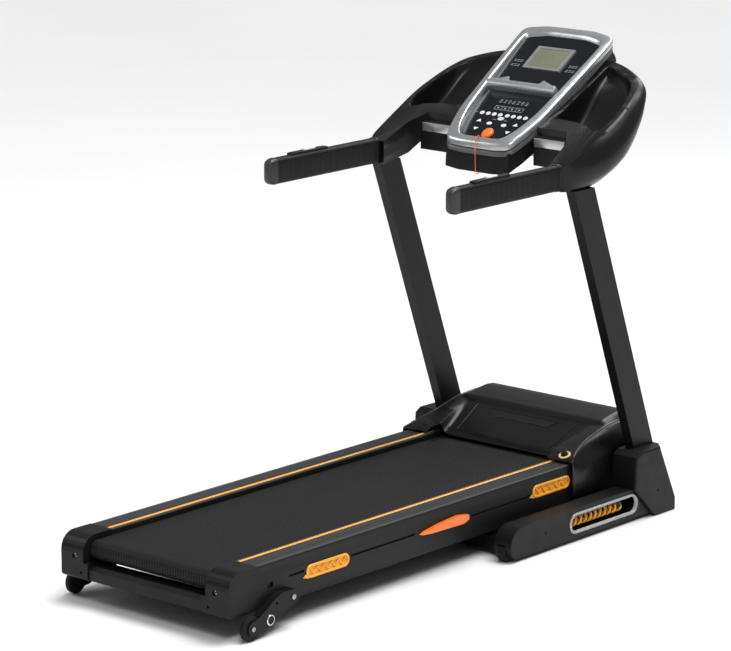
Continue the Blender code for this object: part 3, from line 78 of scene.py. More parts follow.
# ---------------------------------------------------------------- camera

AZIMUTH, ELEVATION, DISTANCE = math.radians(40.883), math.radians(12.973), 9.365
LOOK_AT = at(-0.0054, 0.0008, 0.6198)
BACK = Vector((math.sin(AZIMUTH) * math.cos(ELEVATION), -math.cos(AZIMUTH) * math.cos(ELEVATION),
               math.sin(ELEVATION)))

camera = bpy.data.objects.new("camera", bpy.data.cameras.new("camera"))
camera.data.sensor_width = 36
camera.data.lens = 172.4
camera.data.clip_end = 60
camera.location = LOOK_AT + BACK * DISTANCE
camera.rotation_euler = BACK.to_track_quat("Z", "Y").to_euler()
bpy.context.scene.collection.objects.link(camera)
bpy.context.scene.camera = camera


# ---------------------------------------------------------------- materials


class Finish:
    """A Principled material with helpers for its procedural detail, in the object's own coordinates."""

    def __init__(self, name, colour, roughness, metallic=0.0, coat=0.0, specular=0.5):
        self.material = bpy.data.materials.new(name)
        self.material.use_nodes = True
        self.tree = self.material.node_tree
        self.shader = self.tree.nodes["Principled BSDF"]
        self.colour = colour
        self.normal = None
        self.set("Base Color", (*colour, 1.0))
        self.set("Roughness", roughness)
        self.set("Metallic", metallic)
        self.set("Coat Weight", coat)
        self.set("Coat Roughness", 0.12)
        self.set("Specular IOR Level", specular)
        self.place = self.tree.nodes.new("ShaderNodeTexCoord").outputs["Object"]

    def set(self, socket, value):
        self.shader.inputs[socket].default_value = value

    def node(self, kind, **values):
        made = self.tree.nodes.new(kind)
        for name, value in values.items():
            if name in made.inputs:
                made.inputs[name].default_value = value
            else:
                setattr(made, name, value)
        return made

    def link(self, source, target):
        self.tree.links.new(source, target)

    def stretched(self, stretch, turn=0.0):
        mapping = self.node("ShaderNodeMapping", Scale=stretch, Rotation=(0, 0, math.radians(turn)))
        self.link(self.place, mapping.inputs["Vector"])
        return mapping.outputs["Vector"]

    def noise(self, scale, detail=3.0, stretch=(1, 1, 1)):
        noise = self.node("ShaderNodeTexNoise", Scale=scale, Detail=detail)
        self.link(self.stretched(stretch), noise.inputs["Vector"])
        return noise.outputs["Fac"]

    def wave(self, scale, turn=0.0, direction="X", profile="SIN"):
        wave = self.node("ShaderNodeTexWave", Scale=scale, bands_direction=direction, wave_profile=profile)
        self.link(self.stretched((1, 1, 1), turn), wave.inputs["Vector"])
        return wave.outputs["Fac"]

    def dots(self, scale, size):
        """Round cells from a Voronoi texture: 1 in a dot, 0 between."""
        cells = self.node("ShaderNodeTexVoronoi", Scale=scale, Randomness=0.0)
        self.link(self.place, cells.inputs["Vector"])
        return self.ranged(cells.outputs["Distance"], (size, size * 1.25), (1, 0))

    def ranged(self, source, span, out):
        remap = self.node("ShaderNodeMapRange")
        for name, value in zip(("From Min", "From Max", "To Min", "To Max"), (*span, *out)):
            remap.inputs[name].default_value = value
        self.link(source, remap.inputs["Value"])
        return remap.outputs["Result"]

    def joined(self, first, second, operation="MULTIPLY"):
        both = self.node("ShaderNodeMath", operation=operation)
        self.link(first, both.inputs[0])
        self.link(second, both.inputs[1])
        return both.outputs["Value"]

    def mottle(self, factor, other, span=(0.35, 0.65)):
        """Mixes the base colour with another by a factor."""
        mix = self.node("ShaderNodeMix", data_type="RGBA")
        mix.inputs["A"].default_value = (*self.colour, 1.0)
        mix.inputs["B"].default_value = (*other, 1.0)
        self.link(self.ranged(factor, span, (0, 1)), mix.inputs["Factor"])
        self.link(mix.outputs["Result"], self.shader.inputs["Base Color"])
        return self

    def sheen_spread(self, factor, low, high):
        self.link(self.ranged(factor, (0.3, 0.7), (low, high)), self.shader.inputs["Roughness"])
        return self

    def bump(self, height, depth, strength=0.5):
        bump = self.node("ShaderNodeBump", Distance=depth, Strength=strength)
        self.link(height, bump.inputs["Height"])
        if self.normal:
            self.link(self.normal, bump.inputs["Normal"])
        self.normal = bump.outputs["Normal"]
        self.link(self.normal, self.shader.inputs["Normal"])
        return self


def moulded_plastic():
    """Charcoal ABS with a fine spark-eroded texture."""
    made = Finish("moulded_plastic", (0.0060, 0.0060, 0.0064), 0.40, specular=0.20)
    made.mottle(made.noise(9), (0.0080, 0.0080, 0.0084))
    made.sheen_spread(made.noise(35), 0.36, 0.48)
    return made.bump(made.noise(1500, 2), 0.0003, 0.25).material


def gloss_plastic():
    """Smooth black ABS, a little wavy from the mould."""
    made = Finish("gloss_plastic", (0.0035, 0.0035, 0.0039), 0.26, coat=0.12, specular=0.28)
    made.mottle(made.noise(6), (0.0065, 0.0065, 0.0070))
    made.sheen_spread(made.noise(22), 0.26, 0.36)
    return made.bump(made.noise(14, 1), 0.0006, 0.12).bump(made.noise(1700, 2), 0.0002, 0.10).material


def powder_coat():
    """Black powder coat with its fine orange peel."""
    made = Finish("powder_coat", (0.0045, 0.0045, 0.0049), 0.36, specular=0.20)
    made.mottle(made.noise(5), (0.0062, 0.0062, 0.0066))
    made.sheen_spread(made.noise(60), 0.33, 0.43)
    return made.bump(made.noise(900, 2), 0.0003, 0.30).material


def rail_plastic():
    """Black foot rail, paler on its top face, with grain drawn along its length."""
    made = Finish("rail_plastic", (0.0062, 0.0064, 0.0070), 0.42, specular=0.20)
    grain = made.noise(60, 4, (1, 0.02, 1))
    tread = made.node("ShaderNodeSeparateXYZ")
    made.link(made.place, tread.inputs["Vector"])
    above = made.ranged(tread.outputs["Z"], (RAIL_TOP - 0.0012, RAIL_TOP - 0.0004), (0.25, 0.9))
    made.mottle(made.joined(made.ranged(grain, (0.2, 0.8), (0.75, 1.1)), above), (0.060, 0.063, 0.068), (0.20, 1.0))
    made.sheen_spread(made.noise(90, 3, (1, 0.03, 1)), 0.36, 0.50)
    return made.bump(made.noise(1100, 2), 0.0003, 0.25).material


def belt_rubber():
    """The running belt's fine diamond texture, worn a little smoother in long patches along its run."""
    made = Finish("belt_rubber", (0.0050, 0.0050, 0.0054), 0.60, specular=0.18)
    diamonds = made.joined(made.wave(42, 35), made.wave(42, -35))
    made.mottle(diamonds, (0.0210, 0.0210, 0.0220), (0.05, 0.75))
    made.sheen_spread(made.noise(4, 4, (1, 0.25, 1)), 0.55, 0.70)
    return made.bump(diamonds, 0.0009, 0.7).bump(made.noise(700, 3), 0.0003, 0.3).material


def soft_rubber(name, colour, grain=400):
    made = Finish(name, colour, 0.70, specular=0.22)
    made.mottle(made.noise(30), tuple(c * 1.5 for c in colour))
    return made.bump(made.noise(grain, 4), 0.0004, 0.4).material


def grip_foam():
    """The soft-touch skin of the grips, with a fine grain."""
    made = Finish("grip_foam", (0.0045, 0.0045, 0.0048), 0.46, specular=0.20)
    made.mottle(made.noise(12), (0.0065, 0.0065, 0.0068))
    made.sheen_spread(made.noise(45), 0.42, 0.52)
    return made.bump(made.noise(800, 3), 0.0003, 0.3).material


def silver_paint():
    """Metallic silver paint with fine flakes under a clear coat."""
    made = Finish("silver_paint", (0.50, 0.51, 0.525), 0.26, metallic=0.85, coat=0.35)
    flakes = made.node("ShaderNodeTexVoronoi", Scale=2600.0)
    made.link(made.place, flakes.inputs["Vector"])
    made.mottle(flakes.outputs["Distance"], (0.62, 0.63, 0.645), (0.1, 0.7))
    made.sheen_spread(made.noise(40), 0.26, 0.34)
    return made.bump(made.noise(30, 1), 0.0003, 0.08).material


def plated_steel(name, colour, roughness, brushing):
    """Bright steel, brushed or turned along one way."""
    made = Finish(name, colour, roughness, metallic=1.0)
    lines = made.noise(160, 5, brushing)
    made.sheen_spread(lines, roughness * 0.75, roughness * 1.35)
    made.mottle(made.noise(8), tuple(c * 0.86 for c in colour))
    return made.bump(lines, 0.0001, 0.25).material


def tinted_plastic(name, colour, other, roughness, coat=0.3):
    """Coloured moulded plastic with slight flow marks."""
    made = Finish(name, colour, roughness, coat=coat)
    made.mottle(made.noise(25, 4), other)
    made.sheen_spread(made.noise(70), roughness * 0.85, roughness * 1.2)
    return made.bump(made.noise(900, 2), 0.0002, 0.15).material


def panel_film():
    """The printed film over the console's face: near black, with a fine woven backing showing through."""
    made = Finish("panel_film", (0.0030, 0.0040, 0.0060), 0.22, coat=0.10, specular=0.30)
    made.mottle(made.joined(made.wave(150), made.wave(150, 0, "Y")), (0.0055, 0.0070, 0.0095), (0.1, 0.9))
    made.sheen_spread(made.noise(15), 0.16, 0.24)
    return made.bump(made.noise(500, 2), 0.0001, 0.10).material


def display_glass():
    """A grey-green reflective display, faintly uneven, with its pixel grid."""
    made = Finish("display_glass", (0.155, 0.162, 0.105), 0.25, coat=0.2)
    made.mottle(made.noise(12), (0.180, 0.186, 0.124))
    grid = made.joined(made.wave(320), made.wave(320, 0, "Y"), "MAXIMUM")
    made.sheen_spread(made.noise(40), 0.18, 0.26)
    return made.bump(grid, 0.00005, 0.15).material


def clear_plastic():
    """The spring window's clear moulding."""
    made = Finish("clear_plastic", (0.88, 0.90, 0.92), 0.08)
    made.set("Transmission Weight", 0.70)
    made.set("IOR", 1.47)
    made.sheen_spread(made.noise(50), 0.04, 0.10)
    return made.bump(made.noise(60, 2), 0.0003, 0.10).material


def board_wood():
    """A resin-faced fibre board."""
    made = Finish("board_wood", (0.050, 0.038, 0.028), 0.5)
    made.mottle(made.noise(45, 6, (1, 0.15, 1)), (0.090, 0.066, 0.046))
    return made.bump(made.noise(300, 4, (1, 0.2, 1)), 0.0003, 0.3).material


def mesh_patch():
    """Black plastic with rows of small blind holes, painted darker inside as painted shade."""
    made = Finish("mesh_patch", (0.0060, 0.0060, 0.0065), 0.36, specular=0.35)
    holes = made.dots(230, 0.30)
    # The holes are darkened in the base colour: painted shade in the recesses.
    made.mottle(holes, (0.0010, 0.0010, 0.0010), (0.2, 0.8))
    made.sheen_spread(made.noise(22), 0.34, 0.46)
    return made.bump(made.ranged(holes, (0, 1), (1, 0)), 0.0006, 0.6).material


PLASTIC = moulded_plastic()
GLOSS = gloss_plastic()
STEEL_BLACK = powder_coat()
RAIL = rail_plastic()
BELT = belt_rubber()
RUBBER = soft_rubber("wheel_rubber", (0.007, 0.007, 0.007))
FOAM = grip_foam()
SILVER = silver_paint()
CHROME = plated_steel("bright_chrome", (0.78, 0.78, 0.79), 0.12, (1, 1, 1))
ZINC = plated_steel("zinc_steel", (0.50, 0.51, 0.52), 0.32, (0.05, 1, 1))
AMBER = tinted_plastic("amber_plastic", (0.86, 0.36, 0.012), (0.90, 0.42, 0.03), 0.34)
AMBER_PAINT = tinted_plastic("amber_paint", (0.83, 0.33, 0.015), (0.88, 0.40, 0.03), 0.28, 0.5)
ORANGE = tinted_plastic("orange_plastic", (0.90, 0.15, 0.006), (0.94, 0.20, 0.01), 0.32)
CORD_ORANGE = soft_rubber("cord_orange", (0.62, 0.13, 0.008), 1500)
BRASS_RING = tinted_plastic("pale_gold_ring", (0.85, 0.62, 0.22), (0.90, 0.70, 0.32), 0.30)
FILM = panel_film()
SCREEN = display_glass()
WHITE = tinted_plastic("print_white", (0.70, 0.72, 0.74), (0.76, 0.78, 0.80), 0.35, 0.0)
PALE_BLUE = tinted_plastic("key_pale_blue", (0.52, 0.58, 0.72), (0.60, 0.66, 0.78), 0.30)
PRINT_GREY = tinted_plastic("print_grey", (0.36, 0.38, 0.40), (0.42, 0.44, 0.46), 0.40, 0.0)
SATIN_GREY = tinted_plastic("satin_grey", (0.085, 0.088, 0.092), (0.105, 0.108, 0.112), 0.32, 0.1)
# A pale grey for the line along the hood's crests: a painted highlight standing in for the catch light on the crease.
EDGE_HIGHLIGHT_GREY = tinted_plastic("painted_edge_highlight", (0.060, 0.060, 0.063), (0.090, 0.090, 0.094), 0.30, 0.1)
CAP_GREY = tinted_plastic("grip_cap_grey", (0.020, 0.020, 0.021), (0.028, 0.028, 0.029), 0.38, 0.05)
CLEAR = clear_plastic()
WOOD = board_wood()
PATCH = mesh_patch()

FINISHES = {
    "black_steel": STEEL_BLACK, "black_plastic": PLASTIC, "gloss_plastic": GLOSS, "grey_rail": RAIL,
    "silver_plastic": SILVER, "bright_steel": CHROME, "zinc_steel": ZINC, "belt_rubber": BELT, "rubber": RUBBER,
    "grip_foam": FOAM, "amber_plastic": AMBER, "amber_paint": AMBER_PAINT, "orange_plastic": ORANGE,
    "deck_board": WOOD, "panel_black": FILM, "screen_grey": SILVER, "button_white": WHITE,
}
for part in frame["record"]["subparts"]:
    for holder in NODES[part["node"]].material_slots:
        holder.material = FINISHES[part["material_slot"]]
for side in SIDES:
    for holder in NODES[f"pulse_bar_{side}"].material_slots:
        holder.material = PLASTIC


# ---------------------------------------------------------------- shapes


def arc(centre, radius, start, end, steps):
    angles = [math.radians(start + (end - start) * i / steps) for i in range(steps + 1)]
    return [(centre[0] + radius * math.cos(a), centre[1] + radius * math.sin(a)) for a in angles]


def stadium(centre, length, radius, steps=16):
    reach = length / 2 - radius
    return arc((centre[0] + reach, centre[1]), radius, -90, 90, steps) + arc(
        (centre[0] - reach, centre[1]), radius, 90, 270, steps)


def between(table, place):
    if place <= table[0][0]:
        return table[0][1]
    for (low, first), (high, second) in zip(table, table[1:]):
        if place <= high:
            return first + (second - first) * (place - low) / (high - low)
    return table[-1][1]


def curved(table, place):
    """The value at a place in a table of (place, value) knots, on a smooth curve through them."""
    places = [p for p, _ in table]
    values = [v for _, v in table]
    if place <= places[0]:
        return values[0]
    if place >= places[-1]:
        return values[-1]
    i = max(k for k, p in enumerate(places) if p <= place)

    def slope(k):
        low, high = max(0, k - 1), min(len(places) - 1, k + 1)
        return (values[high] - values[low]) / (places[high] - places[low])

    span = places[i + 1] - places[i]
    t = (place - places[i]) / span
    return ((2 * t ** 3 - 3 * t ** 2 + 1) * values[i] + (t ** 3 - 2 * t ** 2 + t) * span * slope(i)
            + (3 * t ** 2 - 2 * t ** 3) * values[i + 1] + (t ** 3 - t ** 2) * span * slope(i + 1))


def spline(points, per, closed=False):
    """Points on a Catmull-Rom curve, with per steps between two of its own points."""
    points = [Vector(p) for p in points]
    count = len(points)
    route = []
    for i in range(count if closed else count - 1):
        if closed:
            four = [points[(i + k) % count] for k in (-1, 0, 1, 2)]
        else:
            four = [points[min(max(i + k, 0), count - 1)] for k in (-1, 0, 1, 2)]
        for j in range(per):
            t = j / per
            a, b, c, d = four
            route.append(0.5 * (2 * b + (c - a) * t + (2 * a - 5 * b + 4 * c - d) * t * t
                                + (3 * b - a - 3 * c + d) * t ** 3))
    if not closed:
        route.append(points[-1])
    return route


def skin(rings, closed=False, across=None):
    """A mesh through rings of equal length, capped at both ends unless it is closed on itself.

    With across, each cap is a face for the corners up to that one and a face for their mirrors, joined by a row
    of faces from there on.
    """
    mesh = bmesh.new()
    rows = [[mesh.verts.new(point) for point in ring] for ring in rings]
    if closed:
        rows.append(rows[0])
    for row in () if closed else (rows[0], rows[-1]):
        if across is None:
            mesh.faces.new(row)
            continue
        mesh.faces.new((row[0], row[across], row[-1 - across], row[-1]))
        if across > 1:
            mesh.faces.new(row[:across + 1])
            mesh.faces.new(row[-1 - across:])
        for i in range(across, len(row) // 2 - 1):
            mesh.faces.new((row[i], row[i + 1], row[-2 - i], row[-1 - i]))
    for first, second in zip(rows, rows[1:]):
        for i in range(len(first)):
            j = (i + 1) % len(first)
            mesh.faces.new((first[i], first[j], second[j], second[i]))
    bmesh.ops.recalc_face_normals(mesh, faces=mesh.faces)
    return mesh


def slab(outline, place, low, high, rounding=0.0):
    """An outline raised from low to high by a function of (u, v, height), its top edge rounded over."""
    steps = ((low, 0.0), (high - rounding, 0.0), (high - rounding * 0.3, rounding * 0.3), (high, rounding))
    if not rounding:
        steps = ((low, 0.0), (high, 0.0))
    middle = [sum(p[k] for p in outline) / len(outline) for k in (0, 1)]
    rings = []
    for height, inset in steps:
        ring = []
        for u, v in outline:
            away = Vector((u - middle[0], v - middle[1]))
            away = away * (1 - inset / max(away.length, 1e-6))
            ring.append(place(middle[0] + away.x, middle[1] + away.y, height))
        rings.append(ring)
    return skin(rings)


def tube(points, radius, steps=10, closed=False):
    """A round tube along points, with its frame carried along them."""
    points = [Vector(p) for p in points]
    count = len(points)
    rings = []
    across = None
    for i, point in enumerate(points):
        before = points[i - 1] if i or closed else point
        after = points[(i + 1) % count] if i < count - 1 or closed else point
        ahead = (after - before).normalized()
        if across is None:
            across = ahead.cross(Vector((0, 0, 1)) if abs(ahead.z) < 0.9 else Vector((1, 0, 0))).normalized()
        across = (across - ahead * across.dot(ahead)).normalized()
        other = ahead.cross(across)
        rings.append([point + (across * math.cos(a) + other * math.sin(a)) * radius
                      for a in [2 * math.pi * k / steps for k in range(steps)]])
    return skin(rings, closed=closed)


def turned(profile, centre, steps=32):
    """A (x, radius) profile turned round an axis along X through the centre (y, z)."""
    return skin([[at(x, y, z) for y, z in arc(centre, r, 0, 360, steps)[:-1]] for x, r in profile])


def merged(meshes):
    whole = bmesh.new()
    for mesh in meshes:
        data = bpy.data.meshes.new("part")
        mesh.to_mesh(data)
        mesh.free()
        whole.from_mesh(data)
        bpy.data.meshes.remove(data)
    return whole


def flipped(mesh, side):
    if side < 0:
        bmesh.ops.scale(mesh, vec=(-1, 1, 1), verts=mesh.verts)
        bmesh.ops.recalc_face_normals(mesh, faces=mesh.faces)
    return mesh


def piece(name, mesh, material, body, stands_for=(), angle=35):
    """A new visible piece that rides on a body and takes the finish it is given."""
    data = bpy.data.meshes.new(name)
    mesh.to_mesh(data)
    mesh.free()
    data.materials.append(material)
    data.shade_smooth()
    data.set_sharp_from_angle(angle=math.radians(angle))
    obj = bpy.data.objects.new(name, data)
    bpy.context.scene.collection.objects.link(obj)
    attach(obj, body)
    if stands_for:
        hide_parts(*stands_for)
    return obj


def carve(obj, mesh):
    """Cuts a mesh from a piece and keeps the result as the piece's own mesh."""
    data = bpy.data.meshes.new("cutter")
    mesh.to_mesh(data)
    mesh.free()
    cutter = bpy.data.objects.new("cutter", data)
    bpy.context.scene.collection.objects.link(cutter)
    boolean = obj.modifiers.new("carve", "BOOLEAN")
    boolean.operation = "DIFFERENCE"
    boolean.object = cutter
    settle(obj)
    bpy.data.objects.remove(cutter)
    bpy.data.meshes.remove(data)


def settle(obj):
    """Applies a piece's modifiers."""
    graph = bpy.context.evaluated_depsgraph_get()
    graph.update()
    made = bpy.data.meshes.new_from_object(obj.evaluated_get(graph))
    obj.modifiers.clear()
    obj.data = made


def soften(obj, width, angle=38, segments=3):
    """Rounds a piece's sharp edges."""
    bevel = obj.modifiers.new("soften", "BEVEL")
    bevel.width = width
    bevel.segments = segments
    bevel.limit_method = "ANGLE"
    bevel.angle_limit = math.radians(angle)
    bevel.harden_normals = False
    settle(obj)
    obj.data.shade_smooth()
    obj.data.set_sharp_from_angle(angle=math.radians(50))


# ---------------------------------------------------------------- safety lanyard

LANYARD_DIAMETER = 0.0024
LANYARD = (
    (0.0000, 0.4896, 1.0623), (0.0001, 0.4865, 1.0606), (0.0004, 0.4816, 1.0628), (0.0007, 0.4761, 1.0682),
    (0.0010, 0.4702, 1.0728), (0.0014, 0.4632, 1.0737), (0.0017, 0.4562, 1.0690), (0.0022, 0.4512, 1.0560),
    (0.0030, 0.4490, 1.0400), (0.0042, 0.4488, 1.0240), (0.0050, 0.4486, 1.0080), (0.0056, 0.4486, 0.9920),
    (0.0060, 0.4496, 0.9780), (0.0062, 0.4545, 0.9695), (0.0063, 0.4625, 0.9720), (0.0064, 0.4700, 0.9808),
    (0.0064, 0.4762, 0.9874), (0.0064, 0.4817, 0.9884),
)


def build_lanyard():
    """The key's cord, over the bezel's lip and down to its clip under the console."""
    route = spline([at(*p) for p in LANYARD], 6)
    length = sum((b - a).length for a, b in zip(route, route[1:]))
    curve = bpy.data.curves.new("lanyard_cord", "CURVE")
    curve.dimensions = "3D"
    curve.bevel_depth = LANYARD_DIAMETER / 2
    curve.bevel_resolution = 4
    curve.use_fill_caps = True
    line = curve.splines.new("POLY")
    line.points.add(len(route) - 1)
    for point, place in zip(line.points, route):
        point.co = (*place, 1.0)
    curve.materials.append(CORD_ORANGE)
    cord = bpy.data.objects.new("lanyard_cord", curve)
    bpy.context.scene.collection.objects.link(cord)
    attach(cord, "base")
    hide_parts("safety_lanyard")
    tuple(route[0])


build_lanyard()


# ---------------------------------------------------------------- deck trim

RAIL_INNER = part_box("foot_rail_right")[0][0]
RAIL_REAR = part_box("foot_rail_right")[0][1]
DECK_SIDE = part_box("rear_cap_right")[1][0]
STRIP_FROM_LIP = 0.0145
STRIP_HALF = 0.0048


def build_strips():
    """The amber line along each foot rail, seated in its shallow channel."""
    middle = RAIL_INNER + STRIP_FROM_LIP
    section = [(-STRIP_HALF, -0.0013), (STRIP_HALF, -0.0013), (STRIP_HALF, 0.0004), (STRIP_HALF - 0.0012, 0.0012),
               (0, 0.0015), (-STRIP_HALF + 0.0012, 0.0012), (-STRIP_HALF, 0.0004)]
    rear, front = RAIL_REAR + 0.001, at(0, 0.560, 0).y
    for name, side in SIDES.items():
        rings = [[(middle + x, y, RAIL_TOP + z) for x, z in section]
                 for y in [rear + (front - rear) * i / 12 for i in range(13)]]
        piece(f"accent_strip_{name}", flipped(skin(rings), side), AMBER, "deck")


def on_side(y, z, out):
    return at(0, y, z) + Vector((DECK_SIDE + out, 0, 0))


def build_bumpers():
    """Each side bumper: a rounded frame round a recess, a zig-zag lattice in it, and a pointed tail to the rear."""
    for name, side in SIDES.items():
        for place in ("rear", "front"):
            node = f"side_bumper_{place}_{name}"
            low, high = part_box(node)
            centre = ((low[1] + high[1]) / 2 - SHIFT, (low[2] + high[2]) / 2)
            length, radius = high[1] - low[1], (high[2] - low[2]) / 2
            rings = []
            for grow, out in ((0, -0.0048), (0, 0.0016), (-0.0012, 0.0030), (-0.0035, 0.0035), (-0.0062, 0.0030),
                              (-0.0075, 0.0012), (-0.0078, -0.0016)):
                outline = stadium(centre, length + 2 * grow, radius + grow)
                rings.append([on_side(y, z, out) for y, z in outline])
            shell = skin(rings)
            bars = []
            reach = length / 2 - radius
            zig = [(centre[0] - reach - 0.004 + i * (2 * reach + 0.008) / 10, centre[1] + 0.0085 * (-1) ** i)
                   for i in range(11)]
            for first, second in zip(zig, zig[1:]):
                along = Vector((second[0] - first[0], second[1] - first[1])).normalized()
                wide = Vector((-along.y, along.x)) * 0.0014
                corners = [Vector(first) + wide, Vector(first) - wide, Vector(second) - wide, Vector(second) + wide]
                bars.append(slab([tuple(c) for c in corners], on_side, -0.0020, 0.0022))
            tail = [(centre[0] - reach - radius - 0.012, centre[1] - 0.012), (centre[0] - reach - 0.010, centre[1] - 0.0175),
                    (centre[0] - reach - 0.012, centre[1] - 0.002), (centre[0] - reach - radius + 0.001, centre[1] - 0.004)]
            tail_mesh = slab(tail, on_side, -0.0002, 0.0022)
            piece(f"bumper_{place}_{name}", flipped(merged([shell, *bars, tail_mesh]), side), AMBER, "deck",
                  [node])


# ---------------------------------------------------------------- spring windows

WINDOW_REAR, WINDOW_FRONT, WINDOW_Z, WINDOW_RADIUS = 0.390, 0.700, 0.053, 0.030
COVER_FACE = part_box("base_rail_cover_right")[1][0]
COIL_TURNS = 10
WIRE_RADIUS = 0.0036


def build_spring_windows():
    """A clear oval rim round each pocket, and the coil spring that shows through it."""
    middle = ((WINDOW_REAR + WINDOW_FRONT) / 2, WINDOW_Z)
    length = WINDOW_FRONT - WINDOW_REAR

    def on_cover(y, z, out):
        return at(0, y, z) + Vector((COVER_FACE + out, 0, 0))

    for name, side in SIDES.items():
        low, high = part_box(f"shock_spring_right")
        rings = []
        for grow, out in ((-0.0006, -0.006), (-0.0006, 0.0006), (-0.0018, 0.0026), (-0.0040, 0.0034), (-0.0066, 0.0030),
                          (-0.0082, 0.0012), (-0.0086, -0.0008), (-0.0092, -0.0022), (-0.0086, -0.0060)):
            outline = stadium(middle, length + 2 * grow, WINDOW_RADIUS + grow, 20)
            rings.append([on_cover(y, z, out) for y, z in outline])
        piece(f"spring_window_rim_{name}", flipped(skin(rings, closed=True), side), CLEAR, "base")
        centre = Vector(((low[0] + high[0]) / 2, 0, (low[2] + high[2]) / 2))
        radius = (high[2] - low[2]) / 2 - WIRE_RADIUS
        start, end = low[1] + WIRE_RADIUS, high[1] - WIRE_RADIUS
        steps = COIL_TURNS * 24
        route = []
        for i in range(steps + 1):
            share = i / steps
            turn = 2 * math.pi * COIL_TURNS * share
            along = start + (end - start) * (share + 0.012 * math.sin(2 * math.pi * share))
            route.append(centre + Vector((radius * math.cos(turn), along, radius * math.sin(turn))))
        piece(f"coil_spring_{name}", flipped(tube(route, WIRE_RADIUS, 10), side), AMBER_PAINT, "base",
              [f"shock_spring_{name}"])
        ends = []
        for place, reach in ((start - WIRE_RADIUS, 0.0030), (end + WIRE_RADIUS - 0.003, 0.0030)):
            ends.append(skin([[Vector((x, place + out, z)) for x, z in
                               arc((centre.x, centre.z), radius + 0.0022 - shrink, 0, 360, 28)[:-1]]
                              for out, shrink in ((0, 0.001), (0.0004, 0), (reach - 0.0004, 0), (reach, 0.001))]))
        piece(f"spring_seats_{name}", flipped(merged(ends), side), ZINC, "base")


# ---------------------------------------------------------------- hood

SHOULDER = ((0.5115, 0.190), (0.524, 0.196), (0.545, 0.204), (0.600, 0.222), (0.647, 0.234), (0.707, 0.247),
            (0.770, 0.254), (0.840, 0.250), (0.853, 0.238), (0.860, 0.214))
MIDDLE = ((0.566, 0.177), (0.581, 0.188), (0.707, 0.246), (0.718, 0.256), (0.770, 0.265), (0.815, 0.270),
          (0.840, 0.268), (0.853, 0.255), (0.860, 0.228))
TOP_EDGE = ((0.5115, 0.305), (0.524, 0.300), (0.566, 0.283), (0.600, 0.275), (0.647, 0.270), (0.860, 0.268))
HOOD_HALF, HOOD_BOTTOM, HOOD_REAR, HOOD_FRONT, HOOD_MOUTH = 0.310, 0.092, 0.5115, 0.860, 0.566
HOOD_WALL = 0.004
BEND = ((0.581, 0.188), (0.707, 0.207), (0.718, 0.236))


def hood_section(y, inset, bottom):
    shoulder = curved(SHOULDER, y) - inset
    middle = between(MIDDLE, y) - inset if y >= HOOD_MOUTH else shoulder
    edge = curved(TOP_EDGE, y) - inset
    bend = between(BEND, y)
    half = HOOD_HALF - inset
    flare = half - edge
    corner = [(half, shoulder - 0.070), (half - 0.06 * flare, shoulder - 0.052), (edge + 0.75 * flare, shoulder - 0.036),
              (edge + 0.52 * flare, shoulder - 0.021), (edge + 0.3 * flare, shoulder - 0.010),
              (edge + 0.10 * flare, shoulder - 0.004), (edge, shoulder - 0.002), (edge - 0.004, shoulder - 0.0004),
              (edge - 0.010, shoulder)]
    right = [(half, bottom), (half, (bottom + shoulder - 0.070) / 2)] + corner
    drop = shoulder - middle
    for share, fall in ((0.0, 0.15), (0.12, 0.28), (0.35, 0.60), (0.60, 0.86), (0.82, 0.97), (1.0, 1.0)):
        right.append((bend + 0.022 * (1 - share), shoulder - fall * drop))
    right += [(bend * 0.66, middle), (bend * 0.33, middle)]
    return right + [(0.0, middle)] + [(-x, z) for x, z in reversed(right)]


def hood_skin(inset, rear, front, bottom):
    knots = sorted({y for y, _ in SHOULDER + MIDDLE + TOP_EDGE if rear < y < front} | {rear, front})
    stations = []
    for first, second in zip(knots, knots[1:]):
        parts = max(1, round((second - first) / 0.012))
        stations += [first + (second - first) * i / parts for i in range(parts)]
    stations.append(front)
    return skin([[at(x, y, z) for x, z in hood_section(y, inset, bottom)] for y in stations])


def hood_top(x, y):
    """The height of the hood's outer skin over a place."""
    half = hood_section(y, 0, HOOD_BOTTOM)
    right = sorted((px, z) for px, z in half[2:len(half) // 2 + 1])
    return between(right, abs(x))


def on_hood(x, y, out):
    return at(x, y, hood_top(x, y) + out)


def block(low, high):
    return skin([[Vector((x, y, z)) for y, z in ((low[1], low[2]), (high[1], low[2]), (high[1], high[2]), (low[1], high[2]))]
                 for x in (low[0], high[0])])


